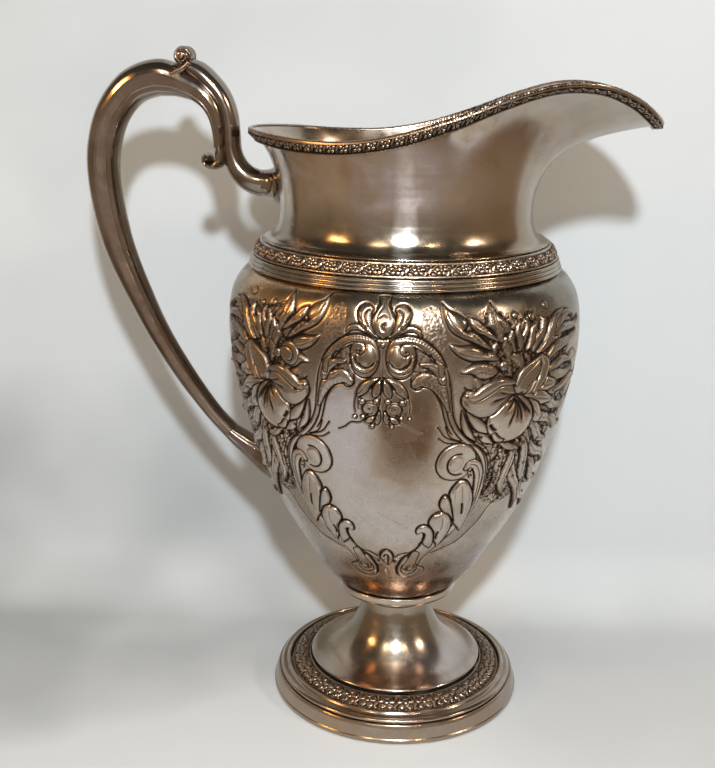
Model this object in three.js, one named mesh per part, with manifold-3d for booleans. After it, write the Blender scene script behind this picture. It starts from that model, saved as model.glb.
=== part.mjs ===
// Footed silver water pitcher: a raised vase-shaped body on a trumpet foot, a drawn-out pouring lip and a
// hollow double-scroll handle. Millimetres, +Z up, spout towards +X, handle towards -X. The body's own axis
// stands at x = AXIS_X, so that the origin is under the middle of the whole pitcher.
import * as THREE from 'three';
import { mergeVertices } from 'three/addons/utils/BufferGeometryUtils.js';
import Module from 'manifold-3d';

// Driving dimensions
const AXIS_X = 18;            // body axis, measured from the middle of the handle-to-spout length
const FOOT_RADIUS = 54;
const RIM_BAND_TOP = 7.4;     // height of the upright band round the foot
const STEM_TOP = 41;          // where the trumpet foot meets the collar under the body
const BODY_BOTTOM = 46.5;
const BELLY_RADIUS = 72.3;
const BELLY_HEIGHT = 163;
const SHOULDER_TOP = 188.2;   // lower edge of the reeded moulding
const BAND_BOTTOM = 193.3;
const NECK_BOTTOM = 198.9;
const NECK_RADIUS = 50.3;
const NECK_WAIST = 210;       // height where the flaring lip starts to leave the round neck
const WALL = 1.0;             // sheet silver of the body and neck
const BORDER_DEPTH = 3.9;     // die-rolled border under the lip
const BORDER_THICK = 1.3;
const GAP = 0.3;              // solder gap between neighbouring pieces
const SIDES = 40;             // facets round every turned piece
const LIP_STEPS = [0, 0.2, 0.4, 0.56, 0.7, 0.82, 0.92, 1];   // places along the lip's curve
const BORDER_STEPS = [0, 1.2, 2.6, BORDER_DEPTH];
const HOLLOW = 0.75;          // inside of the hollow handle as a share of its outside
const HALF_OUTSIDE = 7;       // facets round the outside and the inside of one handle half
const HALF_INSIDE = 5;
const STRAND_SIDES = 14;      // facets round the solid strands and the scroll ends
const MAIN_STEPS = 36;        // lengths along each strand
const UPPER_STEPS = 20;
const TAIL_STEPS = 12;
const SOCKET_SIDES = 16;
const REEDS = 3;

// Lip edge: [angle from the spout in degrees, distance from the body axis, height]
const LIP_EDGE = [
  [0, 97.5, 245], [8, 95.8, 247.8], [16, 90.5, 253.8], [25, 83, 258.6], [36, 74, 259.3], [50, 66, 254.9],
  [66, 58.5, 248.1], [86, 53, 241.9], [108, 52.5, 238.6], [131, 55.5, 238.5], [155, 61, 240], [180, 63.8, 240.6],
];

// Handle strands in the plane y = 0, from the body axis: [x, z, half depth, half width]
const MAIN_STRAND = [
  [-77.3, 232.8, 1, 4.4], [-77.6, 238.5, 1.2, 4.8], [-78.7, 244.2, 1.6, 5.2], [-81, 249.2, 2.1, 5.6],
  [-85.4, 253.4, 3.1, 6.1], [-91, 256.4, 4.2, 6.5], [-97, 259.6, 7.2, 6.8], [-102, 259.5, 7.4, 6.9],
  [-112, 256, 7.3, 7], [-121.2, 245.8, 6.9, 7], [-126, 231.5, 6.8, 6.9], [-126.5, 219, 6.7, 6.8],
  [-124.6, 204, 6.4, 6.5], [-120.6, 188.4, 5.9, 6.1], [-112.8, 169.8, 5, 5.6], [-104.4, 152.8, 4.3, 5.1],
  [-93.1, 134.6, 3.8, 4.7], [-81.2, 118.9, 3.3, 4.5], [-74.2, 111.6, 3.3, 4.6],
];
const UPPER_STRAND = [
  [-56.6, 218.7, 5.5, 5.9], [-60.4, 218.9, 5.4, 5.8], [-65, 220.8, 5.1, 5.6], [-69, 224.8, 4.6, 5.4],
  [-71.2, 231, 3.9, 5.2], [-71.6, 238.5, 3.7, 5.2], [-72.4, 246, 3.6, 5.4], [-75, 252.6, 3.7, 5.7],
  [-79.8, 258, 3.5, 6], [-84.6, 261.2, 2.8, 6.1], [-87.6, 262.8, 2.1, 6.1],
];
const TAIL = [
  [-73.8, 111.2, 3.4, 4.7], [-70.9, 109, 3.9, 5], [-67.2, 106.4, 4.5, 5.5], [-61.8, 102.6, 5.8, 6],
  [-54.4, 96, 5.8, 5.4], [-48.8, 88.4, 3.2, 3.4],
];
const THUMB_SCROLL = { x: -90.1, z: 268, radius: 3.9, width: 12.4 };
const INNER_SCROLL = { x: -79.9, z: 228, radius: 3.6, width: 9.6 };

// Flared collar where the upper strand meets the neck: [x, z, half height, half width]
const UPPER_SOCKET = [
  [-55.9, 218.6, 5.6, 6], [-54.4, 218.6, 6.3, 6.7], [-52.6, 218.4, 7.8, 8.2], [-47, 218.4, 8.6, 9],
];

const wasm = await Module();
wasm.setup();

const metal = (color, roughness) => new THREE.MeshStandardMaterial({ color, roughness, metalness: 1 });
const sheetSilver = metal(0xb3a699, 0.24);
const chasedSilver = metal(0x8e8072, 0.36);
const castSilver = metal(0x9c8d7e, 0.28);

// Smooth interpolation of a table of [angle, ...values] that is symmetric about its first and last angle
function smoothTable(table, angle, column) {
  const last = table.length - 1;
  const row = (i) => table[i < 0 ? -i : i > last ? 2 * last - i : i];
  const place = (i) => (i < 0 ? -row(i)[0] : i > last ? 2 * table[last][0] - row(i)[0] : row(i)[0]);
  let i = 0;
  while (i < last - 1 && angle > table[i + 1][0]) i += 1;
  const slope = (k) => (row(k + 1)[column] - row(k - 1)[column]) / (place(k + 1) - place(k - 1));
  const step = place(i + 1) - place(i);
  const s = (angle - place(i)) / step;
  const from = row(i)[column] * (1 + 2 * s) * (1 - s) ** 2 + step * slope(i) * s * (1 - s) ** 2;
  const to = row(i + 1)[column] * s * s * (3 - 2 * s) + step * slope(i + 1) * s * s * (s - 1);
  return from + to;
}

// A closed solid from a grid of rings. Each ring is a closed outline with the same number of points. The
// rings join end to end when closed is true, and otherwise the first and last are capped.
function ringSolid(rings, closed, capFaces = []) {
  const count = rings[0].length;
  const positions = rings.flat().flatMap((p) => [p.x, p.y, p.z]);
  const index = [];
  const spans = closed ? rings.length : rings.length - 1;
  for (let i = 0; i < spans; i += 1) {
    const a = i * count;
    const b = ((i + 1) % rings.length) * count;
    for (let j = 0; j < count; j += 1) {
      const k = (j + 1) % count;
      index.push(a + j, b + j, b + k, a + j, b + k, a + k);
    }
  }
  const end = (rings.length - 1) * count;
  for (const [p, q, r] of capFaces) index.push(p, q, r, end + p, end + r, end + q);
  const geometry = new THREE.BufferGeometry();
  geometry.setAttribute('position', new THREE.Float32BufferAttribute(positions, 3));
  geometry.setIndex(index);
  return outwards(geometry);
}

// Turns the faces round when the solid is inside out
function outwards(geometry) {
  const p = geometry.attributes.position;
  const at = (i) => new THREE.Vector3().fromBufferAttribute(p, i);
  const faces = geometry.index.array;
  let volume = 0;
  for (let i = 0; i < faces.length; i += 3) {
    volume += at(faces[i]).dot(at(faces[i + 1]).cross(at(faces[i + 2])));
  }
  if (volume < 0) {
    for (let i = 0; i < faces.length; i += 3) {
      [faces[i + 1], faces[i + 2]] = [faces[i + 2], faces[i + 1]];
    }
  }
  return geometry;
}

// Turned piece: profile points are [radius, height] round a closed loop, or from axis to axis
function turned(profile, closed = true) {
  const points = profile.map(([r, z]) => new THREE.Vector2(r, z));
  if (closed) points.push(points[0].clone());
  const geometry = new THREE.LatheGeometry(points, SIDES).rotateX(Math.PI / 2);
  geometry.deleteAttribute('normal');
  geometry.deleteAttribute('uv');
  return outwards(mergeVertices(geometry, 1e-4));
}

// Piece whose upright section changes round the axis: section(angle) gives [radius, height] points
function turnedBySection(section) {
  const rings = [];
  for (let i = 0; i < SIDES; i += 1) {
    const angle = (2 * Math.PI * i) / SIDES;
    const degrees = (360 * Math.min(i, SIDES - i)) / SIDES;
    const point = ([r, z]) => new THREE.Vector3(r * Math.cos(angle), r * Math.sin(angle), z);
    rings.push(section(degrees).map(point));
  }
  return ringSolid(rings, true);
}

function solidOf(geometry) {
  const vertProperties = Float32Array.from(geometry.attributes.position.array);
  const triVerts = Uint32Array.from(geometry.index.array);
  return new wasm.Manifold(new wasm.Mesh({ numProp: 3, vertProperties, triVerts }));
}

function cut(geometry, tool) {
  const mesh = solidOf(geometry).subtract(solidOf(tool)).getMesh();
  const result = new THREE.BufferGeometry();
  result.setAttribute('position', new THREE.BufferAttribute(mesh.vertProperties, 3));
  result.setIndex(new THREE.BufferAttribute(mesh.triVerts, 1));
  return result;
}

// Profile of the other face of a sheet: each point moved squarely off the profile, towards the axis
function inset(profile, thickness) {
  const last = profile.length - 1;
  return profile.map(([r, z], i) => {
    const before = profile[Math.max(i - 1, 0)];
    const after = profile[Math.min(i + 1, last)];
    const along = new THREE.Vector2(after[0] - before[0], after[1] - before[1]).normalize();
    return [r - along.y * thickness, z + along.x * thickness];
  });
}

// Body
const bodyOutside = [
  [0, BODY_BOTTOM], [18, 48.2], [24, 50.4], [27.2, 52.4], [31.2, 56.6], [39.8, 69], [48.6, 83.4],
  [58.2, 103.4], [66.2, 127], [70.4, 145], [BELLY_RADIUS, BELLY_HEIGHT], [71.3, 175], [67.9, 183],
  [61.6, SHOULDER_TOP],
];
const underBands = [[60.4, 189.2], [59.3, 193.6], [57, 198.6]];

function bodyShell() {
  const outside = [...bodyOutside, ...underBands];
  const inside = inset(outside, WALL);
  inside[0] = [0, BODY_BOTTOM + WALL];
  inside[inside.length - 1] = [57 - WALL, 198.6];
  return turned([...outside, ...inside.reverse()], false);
}

// Three plain reeds on the shoulder, under the floral band
function shoulderReeding() {
  const reed = (BAND_BOTTOM - GAP - SHOULDER_TOP - GAP) / REEDS;
  const outside = [];
  for (let i = 0; i < REEDS; i += 1) {
    const z = SHOULDER_TOP + GAP + reed * i;
    const r = 62.9 - 0.5 * i;
    outside.push([r - 0.6, z], [r, z + reed / 2]);
  }
  outside.push([61.3, BAND_BOTTOM - GAP]);
  return turned([...outside, [59.9, BAND_BOTTOM - GAP], [60.7, 189.4], [61.3, SHOULDER_TOP + GAP]]);
}

function shoulderBand() {
  const top = NECK_BOTTOM - GAP;
  const outside = [[61.2, BAND_BOTTOM], [61.4, 194.3], [60.9, 196], [59.7, 197.8], [58.2, top]];
  return turned([...outside, [57.3, top], [58.8, 195.9], [59.8, BAND_BOTTOM]]);
}

// Neck and lip: the round neck flares into the lip edge along a Bezier curve in each upright plane
function lipCurve(degrees) {
  const edge = smoothTable(LIP_EDGE, degrees, 1);
  const height = smoothTable(LIP_EDGE, degrees, 2);
  const overhang = edge - NECK_RADIUS;
  const reach = 0.57 * overhang;
  const climb = 8 / (1 + Math.abs(overhang) / 45);
  const inner = edge - ((BORDER_THICK + GAP) * climb) / Math.hypot(reach, climb);
  const upright = 0.44 + 0.28 * (overhang / 46);
  const start = new THREE.Vector2(NECK_RADIUS, NECK_WAIST);
  const rise = new THREE.Vector2(NECK_RADIUS, NECK_WAIST + upright * (height - NECK_WAIST));
  const lead = new THREE.Vector2(inner - reach, height - climb);
  return new THREE.CubicBezierCurve(start, rise, lead, new THREE.Vector2(inner, height));
}

const neckFoot = [[57.4, NECK_BOTTOM], [56.6, 199.6], [54.2, 200.4], [52.2, 202.6], [50.9, 206]];

function neckSection(degrees) {
  const curve = lipCurve(degrees);
  const outside = [...neckFoot, ...LIP_STEPS.map((t) => curve.getPoint(t).toArray())];
  const inside = inset(outside, WALL);
  inside[0] = [neckFoot[0][0] - WALL, NECK_BOTTOM];
  inside[1] = [neckFoot[1][0] - WALL, neckFoot[1][1] - GAP];
  return [...outside, ...inside.reverse()];
}

function borderSection(degrees) {
  const curve = lipCurve(degrees);
  const speed = 3 * curve.v2.distanceTo(curve.v3);
  const at = (depth, offset) => {
    const t = 1 - depth / speed;
    const p = curve.getPoint(t);
    const along = curve.getTangent(t);
    return [p.x + along.y * offset, p.y - along.x * offset];
  };
  const out = GAP + BORDER_THICK;
  const [edge, height] = curve.v3.toArray();
  const top = [Math.max(edge + 0.5, at(0, out)[0]), height - 0.1];
  const outer = BORDER_STEPS.slice(1).map((depth) => at(depth, out));
  const inner = BORDER_STEPS.map((depth) => at(depth, GAP));
  return [top, ...outer, ...inner.reverse()];
}

// Handle: an upright outline swept along the strand, half depth across it and half width sideways
function strandFrames(strand, steps) {
  const points = strand.map(([x, z]) => new THREE.Vector3(x, 0, z));
  const path = new THREE.CatmullRomCurve3(points, false, 'centripetal');
  const frames = [];
  for (let i = 0; i <= steps; i += 1) {
    const t = i / steps;
    const place = t * (strand.length - 1);
    const k = Math.min(Math.floor(place), strand.length - 2);
    const blend = place - k;
    const mix = (column) => strand[k][column] * (1 - blend) + strand[k + 1][column] * blend;
    const along = path.getTangent(t);
    const across = new THREE.Vector3(along.z, 0, -along.x);
    frames.push({ centre: path.getPoint(t), across, depth: mix(2), width: mix(3) });
  }
  return frames;
}

function sweep(strand, steps, outline) {
  const ringAt = ({ centre, across, depth, width }) => outline.map(([d, w]) => {
    const point = centre.clone().addScaledVector(across, d * depth);
    point.y += w * width;
    return point;
  });
  const rings = strandFrames(strand, steps).map(ringAt);
  const contour = outline.map(([d, w]) => new THREE.Vector2(d, w));
  const faces = THREE.ShapeUtils.triangulateShape(contour, []);
  const flip = THREE.ShapeUtils.isClockWise(contour);
  return ringSolid(rings, false, flip ? faces.map(([a, b, c]) => [a, c, b]) : faces);
}

// Rounded outline of a strand: full round outside the curve and a little narrower inside it
function strandOutline(points, scale, from, to) {
  const narrowing = 0.16;
  const outline = [];
  for (let i = 0; i <= points; i += 1) {
    const angle = from + ((to - from) * i) / points;
    const pinch = 1 - narrowing * Math.max(0, -Math.cos(angle)) ** 0.7;
    outline.push([scale * Math.cos(angle), scale * Math.sin(angle) * pinch]);
  }
  return outline;
}

function wholeOutline() {
  return strandOutline(STRAND_SIDES - 1, 1, 0, (2 * Math.PI * (STRAND_SIDES - 1)) / STRAND_SIDES);
}

// One stamped half of the hollow main strand, side = -1 or 1
function handleHalf(side) {
  const seam = 0.04;
  const innerSeam = seam * 1.4;
  const outside = strandOutline(HALF_OUTSIDE, 1, seam, Math.PI - seam);
  const inside = strandOutline(HALF_INSIDE, HOLLOW, innerSeam, Math.PI - innerSeam);
  const outline = [...outside, ...inside.reverse()].map(([d, w]) => [d, side * w]);
  return sweep(MAIN_STRAND, MAIN_STEPS, outline);
}

function upperStrand() {
  return sweep(UPPER_STRAND, UPPER_STEPS, wholeOutline());
}

// Scroll end: a disc across the strand with a raised eye on both faces
function scrollEnd({ x, z, radius, width }) {
  // [share of the radius, depth below the face]
  const face = [[0, 0], [0.45, 0], [0.6, 1], [0.9, 1.2], [1, 2]];
  const half = width / 2;
  const low = face.map(([share, depth]) => [share * radius, depth - half]);
  const high = face.map(([share, depth]) => [share * radius, half - depth]);
  const profile = [...low, [radius * 0.92, 0], ...high.reverse()];
  const points = profile.map(([r, y]) => new THREE.Vector2(r, y));
  const geometry = new THREE.LatheGeometry(points, STRAND_SIDES);
  geometry.deleteAttribute('normal');
  geometry.deleteAttribute('uv');
  return outwards(mergeVertices(geometry, 1e-4)).translate(x, 0, z);
}

// Loft through ellipses in planes across x: [x, z, half height, half width]
function ellipseLoft(stations, points) {
  const rings = stations.map(([x, z, high, wide]) => {
    const ring = [];
    for (let i = 0; i < points; i += 1) {
      const angle = (2 * Math.PI * i) / points;
      ring.push(new THREE.Vector3(x, wide * Math.cos(angle), z + high * Math.sin(angle)));
    }
    return ring;
  });
  const faces = [];
  for (let i = 1; i < points - 1; i += 1) faces.push([0, i, i + 1]);
  return ringSolid(rings, false, faces);
}

function upperSocket() {
  const collar = ellipseLoft(UPPER_SOCKET, SOCKET_SIDES);
  const core = 20;   // the clearance tool is a thick ring from this radius out to the neck
  const neckClear = turnedBySection((degrees) => {
    const curve = lipCurve(degrees);
    const outside = inset([...neckFoot, ...LIP_STEPS.map((t) => curve.getPoint(t).toArray())], -GAP);
    return [...outside, [core, outside[outside.length - 1][1]], [core, outside[0][1]]];
  });
  return cut(collar, neckClear);
}

// Tapering tail that carries the lower end of the handle down the body
function lowerTail() {
  const tail = sweep(TAIL, TAIL_STEPS, wholeOutline());
  const clearance = inset(bodyOutside, -GAP);
  clearance[0] = [0, BODY_BOTTOM - GAP];
  return cut(tail, turned([...clearance, [0, SHOULDER_TOP]], false));
}

// Foot
function bodyCollar() {
  const cove = [[14.6, 41.3], [16.2, 43.2], [19.4, 45], [23.6, 46.2], [25, 47], [25.9, 48.6], [25.9, 50.2]];
  const seat = [[24.6, 50.25], [23.6, 49.8], [18, 47.8], [12, 46.4], [12, 41.3]];
  return turned([...cove, ...seat]);
}

function footStem() {
  const outside = [
    [37.3, 13.4], [37.3, 14.2], [35.4, 15.1], [30.4, 17], [24.8, 20.6], [20, 25.8], [16.8, 32], [15, 37],
    [14.6, STEM_TOP],
  ];
  const inside = inset(outside, WALL);
  inside[0] = [35.9, 13.4];
  inside[1] = [35.9, 13.6];
  inside[inside.length - 1] = [14.6 - WALL, STEM_TOP];
  return turned([...outside, ...inside.reverse()]);
}

function footBorder() {
  const outside = [[46.3, 9.6], [45.4, 10.9], [43.4, 12.2], [41, 13], [39, 13.2], [37.6, 12.6]];
  return turned([...outside, [37.6, 11.5], [41, 11.9], [44.4, 10.2], [45.2, 9.4]]);
}

function footMoulding() {
  const ring = [[51.2, 7.7], [50.7, 8.8], [49.6, 9.5], [48.4, 9.7]];
  const wire = [[47.6, 10.6], [46.9, 10.7], [46.6, 10.1]];
  return turned([...ring, ...wire, [46.6, 8.8], [48.6, 8.2], [49.9, 7.7]]);
}

function footRim() {
  const outside = [[FOOT_RADIUS, 0], [FOOT_RADIUS, 1.4], [53.2, 3.6], [52.5, 6], [51.9, RIM_BAND_TOP]];
  return turned([...outside, [50.2, RIM_BAND_TOP], [50.9, 5.6], [51.7, 3.2], [52.6, 1.4], [52.6, 0]]);
}

function baseWire() {
  return turned([[52.3, 0], [52.3, 1.2], [51.4, 2.2], [50, 2.2], [49.4, 1.2], [49.4, 0]]);
}

const pieces = [
  ['body_shell', bodyShell(), chasedSilver],
  ['shoulder_reeding', shoulderReeding(), sheetSilver],
  ['shoulder_band', shoulderBand(), chasedSilver],
  ['neck_and_lip', turnedBySection(neckSection), sheetSilver],
  ['lip_border', turnedBySection(borderSection), chasedSilver],
  ['handle_near_half', handleHalf(-1), castSilver],
  ['handle_far_half', handleHalf(1), castSilver],
  ['handle_upper_strand', upperStrand(), castSilver],
  ['thumb_scroll', scrollEnd(THUMB_SCROLL), castSilver],
  ['inner_scroll', scrollEnd(INNER_SCROLL), castSilver],
  ['handle_upper_socket', upperSocket(), castSilver],
  ['handle_lower_tail', lowerTail(), castSilver],
  ['body_collar', bodyCollar(), sheetSilver],
  ['foot_stem', footStem(), sheetSilver],
  ['foot_border', footBorder(), chasedSilver],
  ['foot_moulding', footMoulding(), sheetSilver],
  ['foot_rim', footRim(), sheetSilver],
  ['foot_base_wire', baseWire(), sheetSilver],
];

const pitcher = new THREE.Group();
pitcher.position.x = AXIS_X;
for (const [name, geometry, material] of pieces) {
  const mesh = new THREE.Mesh(geometry, material);
  mesh.name = name;
  pitcher.add(mesh);
}

const model = new THREE.Group();
model.add(pitcher);
export default model;
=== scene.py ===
import math

import bpy
import numpy as np
from mathutils import Matrix, Vector


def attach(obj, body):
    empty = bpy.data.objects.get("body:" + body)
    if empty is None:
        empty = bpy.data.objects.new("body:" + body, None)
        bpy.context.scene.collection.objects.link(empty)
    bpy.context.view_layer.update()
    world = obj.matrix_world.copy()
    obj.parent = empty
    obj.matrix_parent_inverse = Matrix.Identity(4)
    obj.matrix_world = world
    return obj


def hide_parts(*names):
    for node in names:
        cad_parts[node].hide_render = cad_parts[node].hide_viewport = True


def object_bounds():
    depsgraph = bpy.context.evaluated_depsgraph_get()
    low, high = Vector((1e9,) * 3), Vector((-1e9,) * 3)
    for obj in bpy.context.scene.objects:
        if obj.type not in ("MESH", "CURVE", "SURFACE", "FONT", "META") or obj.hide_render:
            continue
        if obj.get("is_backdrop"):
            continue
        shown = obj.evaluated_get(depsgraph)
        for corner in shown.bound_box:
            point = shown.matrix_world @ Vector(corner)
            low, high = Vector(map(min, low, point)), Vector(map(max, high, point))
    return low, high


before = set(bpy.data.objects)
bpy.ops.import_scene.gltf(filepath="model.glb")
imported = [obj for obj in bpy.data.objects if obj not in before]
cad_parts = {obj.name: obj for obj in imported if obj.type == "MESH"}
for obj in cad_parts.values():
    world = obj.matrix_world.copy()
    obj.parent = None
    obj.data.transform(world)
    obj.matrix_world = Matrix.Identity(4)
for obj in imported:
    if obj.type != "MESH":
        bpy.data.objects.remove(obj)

CAD_BOX = [list(corner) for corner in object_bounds()]
MM = 0.001
AXIS_X = 18.0            # the body's axis in the row frame, mm
GAP = 0.3
WALL = 1.0
DEGREE = math.pi / 180

# Body outline: radius and height, mm
BODY_LOW = [(0, 46.5), (10, 47.2), (18, 48.2), (24, 50.4), (27.2, 52.4), (31.2, 56.6), (35.3, 62)]
BODY_RADIUS = [24, 27.2, 31.2, 35.6, 39.8, 44, 48.6, 53.4, 58.2, 62.4, 66.2, 69.4, 71.5, 72.3, 71.9, 70.6,
               67.9, 64.6, 61.6]
BODY_HEIGHT = [50.4, 52.4, 56.6, 62.4, 69, 75.6, 83.4, 92.6, 103.4, 114.6, 127, 140, 152, 163, 171, 177.6,
               183, 186.6, 188.2]
RELIEF_LOW, RELIEF_HIGH = 62.0, 188.0
BODY_COLUMNS, NECK_COLUMNS, TURNED_COLUMNS = 1344, 480, 288
UNDER_BANDS = [(61.6, 188.2), (60.4, 189.2), (59.3, 193.6), (57, 198.6)]

# Neck and lip
NECK_RADIUS, NECK_WAIST = 50.3, 210.0
NECK_FOOT = [(57.4, 198.9), (56.6, 199.6), (54.2, 200.4), (52.2, 202.6), (50.9, 206), (50.3, 210)]
BORDER_DEPTH, BORDER_THICK = 3.9, 1.3
LIP_TURNED = 1.7         # how far the lip border turns over inside the spout
BORDER_CELL = 0.2
LIP_REPEATS = 84
LIP_EDGE = [  # angle from the spout in degrees, distance from the axis, height
    (0, 97.5, 245), (8, 95.8, 247.8), (16, 90.5, 253.8), (25, 83, 258.6), (36, 74, 259.3), (50, 66, 254.9),
    (66, 58.5, 248.1), (86, 53, 241.9), (108, 52.5, 238.6), (131, 55.5, 238.5), (155, 61, 240),
    (180, 63.8, 240.6),
]


# ---------------------------------------------------------------- numbers

def smoothstep(x, low, high):
    """0 below low, 1 above high, with a soft step between them."""
    t = np.clip((x - low) / (high - low), 0, 1)
    return t * t * (3 - 2 * t)


def cubic(t, places, values, slopes):
    """Cubic Hermite curve through values at places."""
    k = np.clip(np.searchsorted(places, t, side="right") - 1, 0, len(places) - 2)
    step = places[k + 1] - places[k]
    s = (t - places[k]) / step
    extra = (1,) * (values.ndim - 1)
    s, step = s.reshape(-1, *extra), step.reshape(-1, *extra)
    rise = values[k] * (1 + 2 * s) * (1 - s) ** 2 + values[k + 1] * s * s * (3 - 2 * s)
    return rise + step * (slopes[k] * s * (1 - s) ** 2 + slopes[k + 1] * s * s * (s - 1))


def lengths(line):
    """Length run along a polyline at each of its points."""
    return np.concatenate([[0], np.cumsum(np.hypot(*np.diff(line[:, :2], axis=0).T))])


def tangents(line):
    """Unit direction of a polyline at each of its points."""
    along = np.gradient(line[:, :2], axis=0)
    return along / np.hypot(along[:, 0], along[:, 1])[:, None]


def full_circle(count):
    """Even angles round a circle."""
    return np.arange(count) * (2 * math.pi / count)


def resample(line, step):
    """Points at even steps along a polyline; columns after the first two are carried along."""
    run = lengths(line)
    places = np.linspace(0, run[-1], max(2, int(round(run[-1] / step)) + 1))
    return np.stack([np.interp(places, run, column) for column in line.T], axis=1)


def spline(points, step):
    """Smooth curve through points, at even steps."""
    p = np.array(points, float)
    if len(p) < 3:
        return resample(p, step)
    gaps = np.maximum(np.hypot(*np.diff(p[:, :2], axis=0).T), 1e-6) ** 0.5
    t = np.concatenate([[0], np.cumsum(gaps)])
    slopes = np.gradient(p, t, axis=0)
    fine = np.interp(np.linspace(0, len(t) - 1, 14 * len(t)), np.arange(len(t)), t)
    return resample(cubic(fine, t, p, slopes), step)


def blur(field, cells):
    """Soft blur of a grid that wraps across and ends up and down."""
    reach = max(1, int(round(cells * 2.5)))
    weights = np.exp(-0.5 * (np.arange(-reach, reach + 1) / cells) ** 2)
    weights /= weights.sum()
    padded = np.pad(field, ((reach, reach), (0, 0)), mode="edge")
    rows = sum(w * padded[i:i + field.shape[0]] for i, w in enumerate(weights))
    return sum(w * np.roll(rows, i - reach, axis=1) for i, w in enumerate(weights))


def pchip_slopes(x, y):
    """Slopes that keep a curve through rising places free of overshoot."""
    h, d = np.diff(x), np.diff(y) / np.diff(x)
    m = np.zeros(len(x))
    for k in range(1, len(x) - 1):
        if d[k - 1] * d[k] > 0:
            w1, w2 = 2 * h[k] + h[k - 1], h[k] + 2 * h[k - 1]
            m[k] = (w1 + w2) / (w1 / d[k - 1] + w2 / d[k])
    m[0], m[-1] = d[0], d[-1]
    return m


# ---------------------------------------------------------------- relief

GROOVE_ROOM = 1.2        # mm round a form that its chased line may reach
FULL_DEPTH = 1.8         # mm from the top of a full form to its ground
FAR = 1e9                # mm, farther than any cell
STRETCH = 8              # points of a path that are searched at a time


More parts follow.
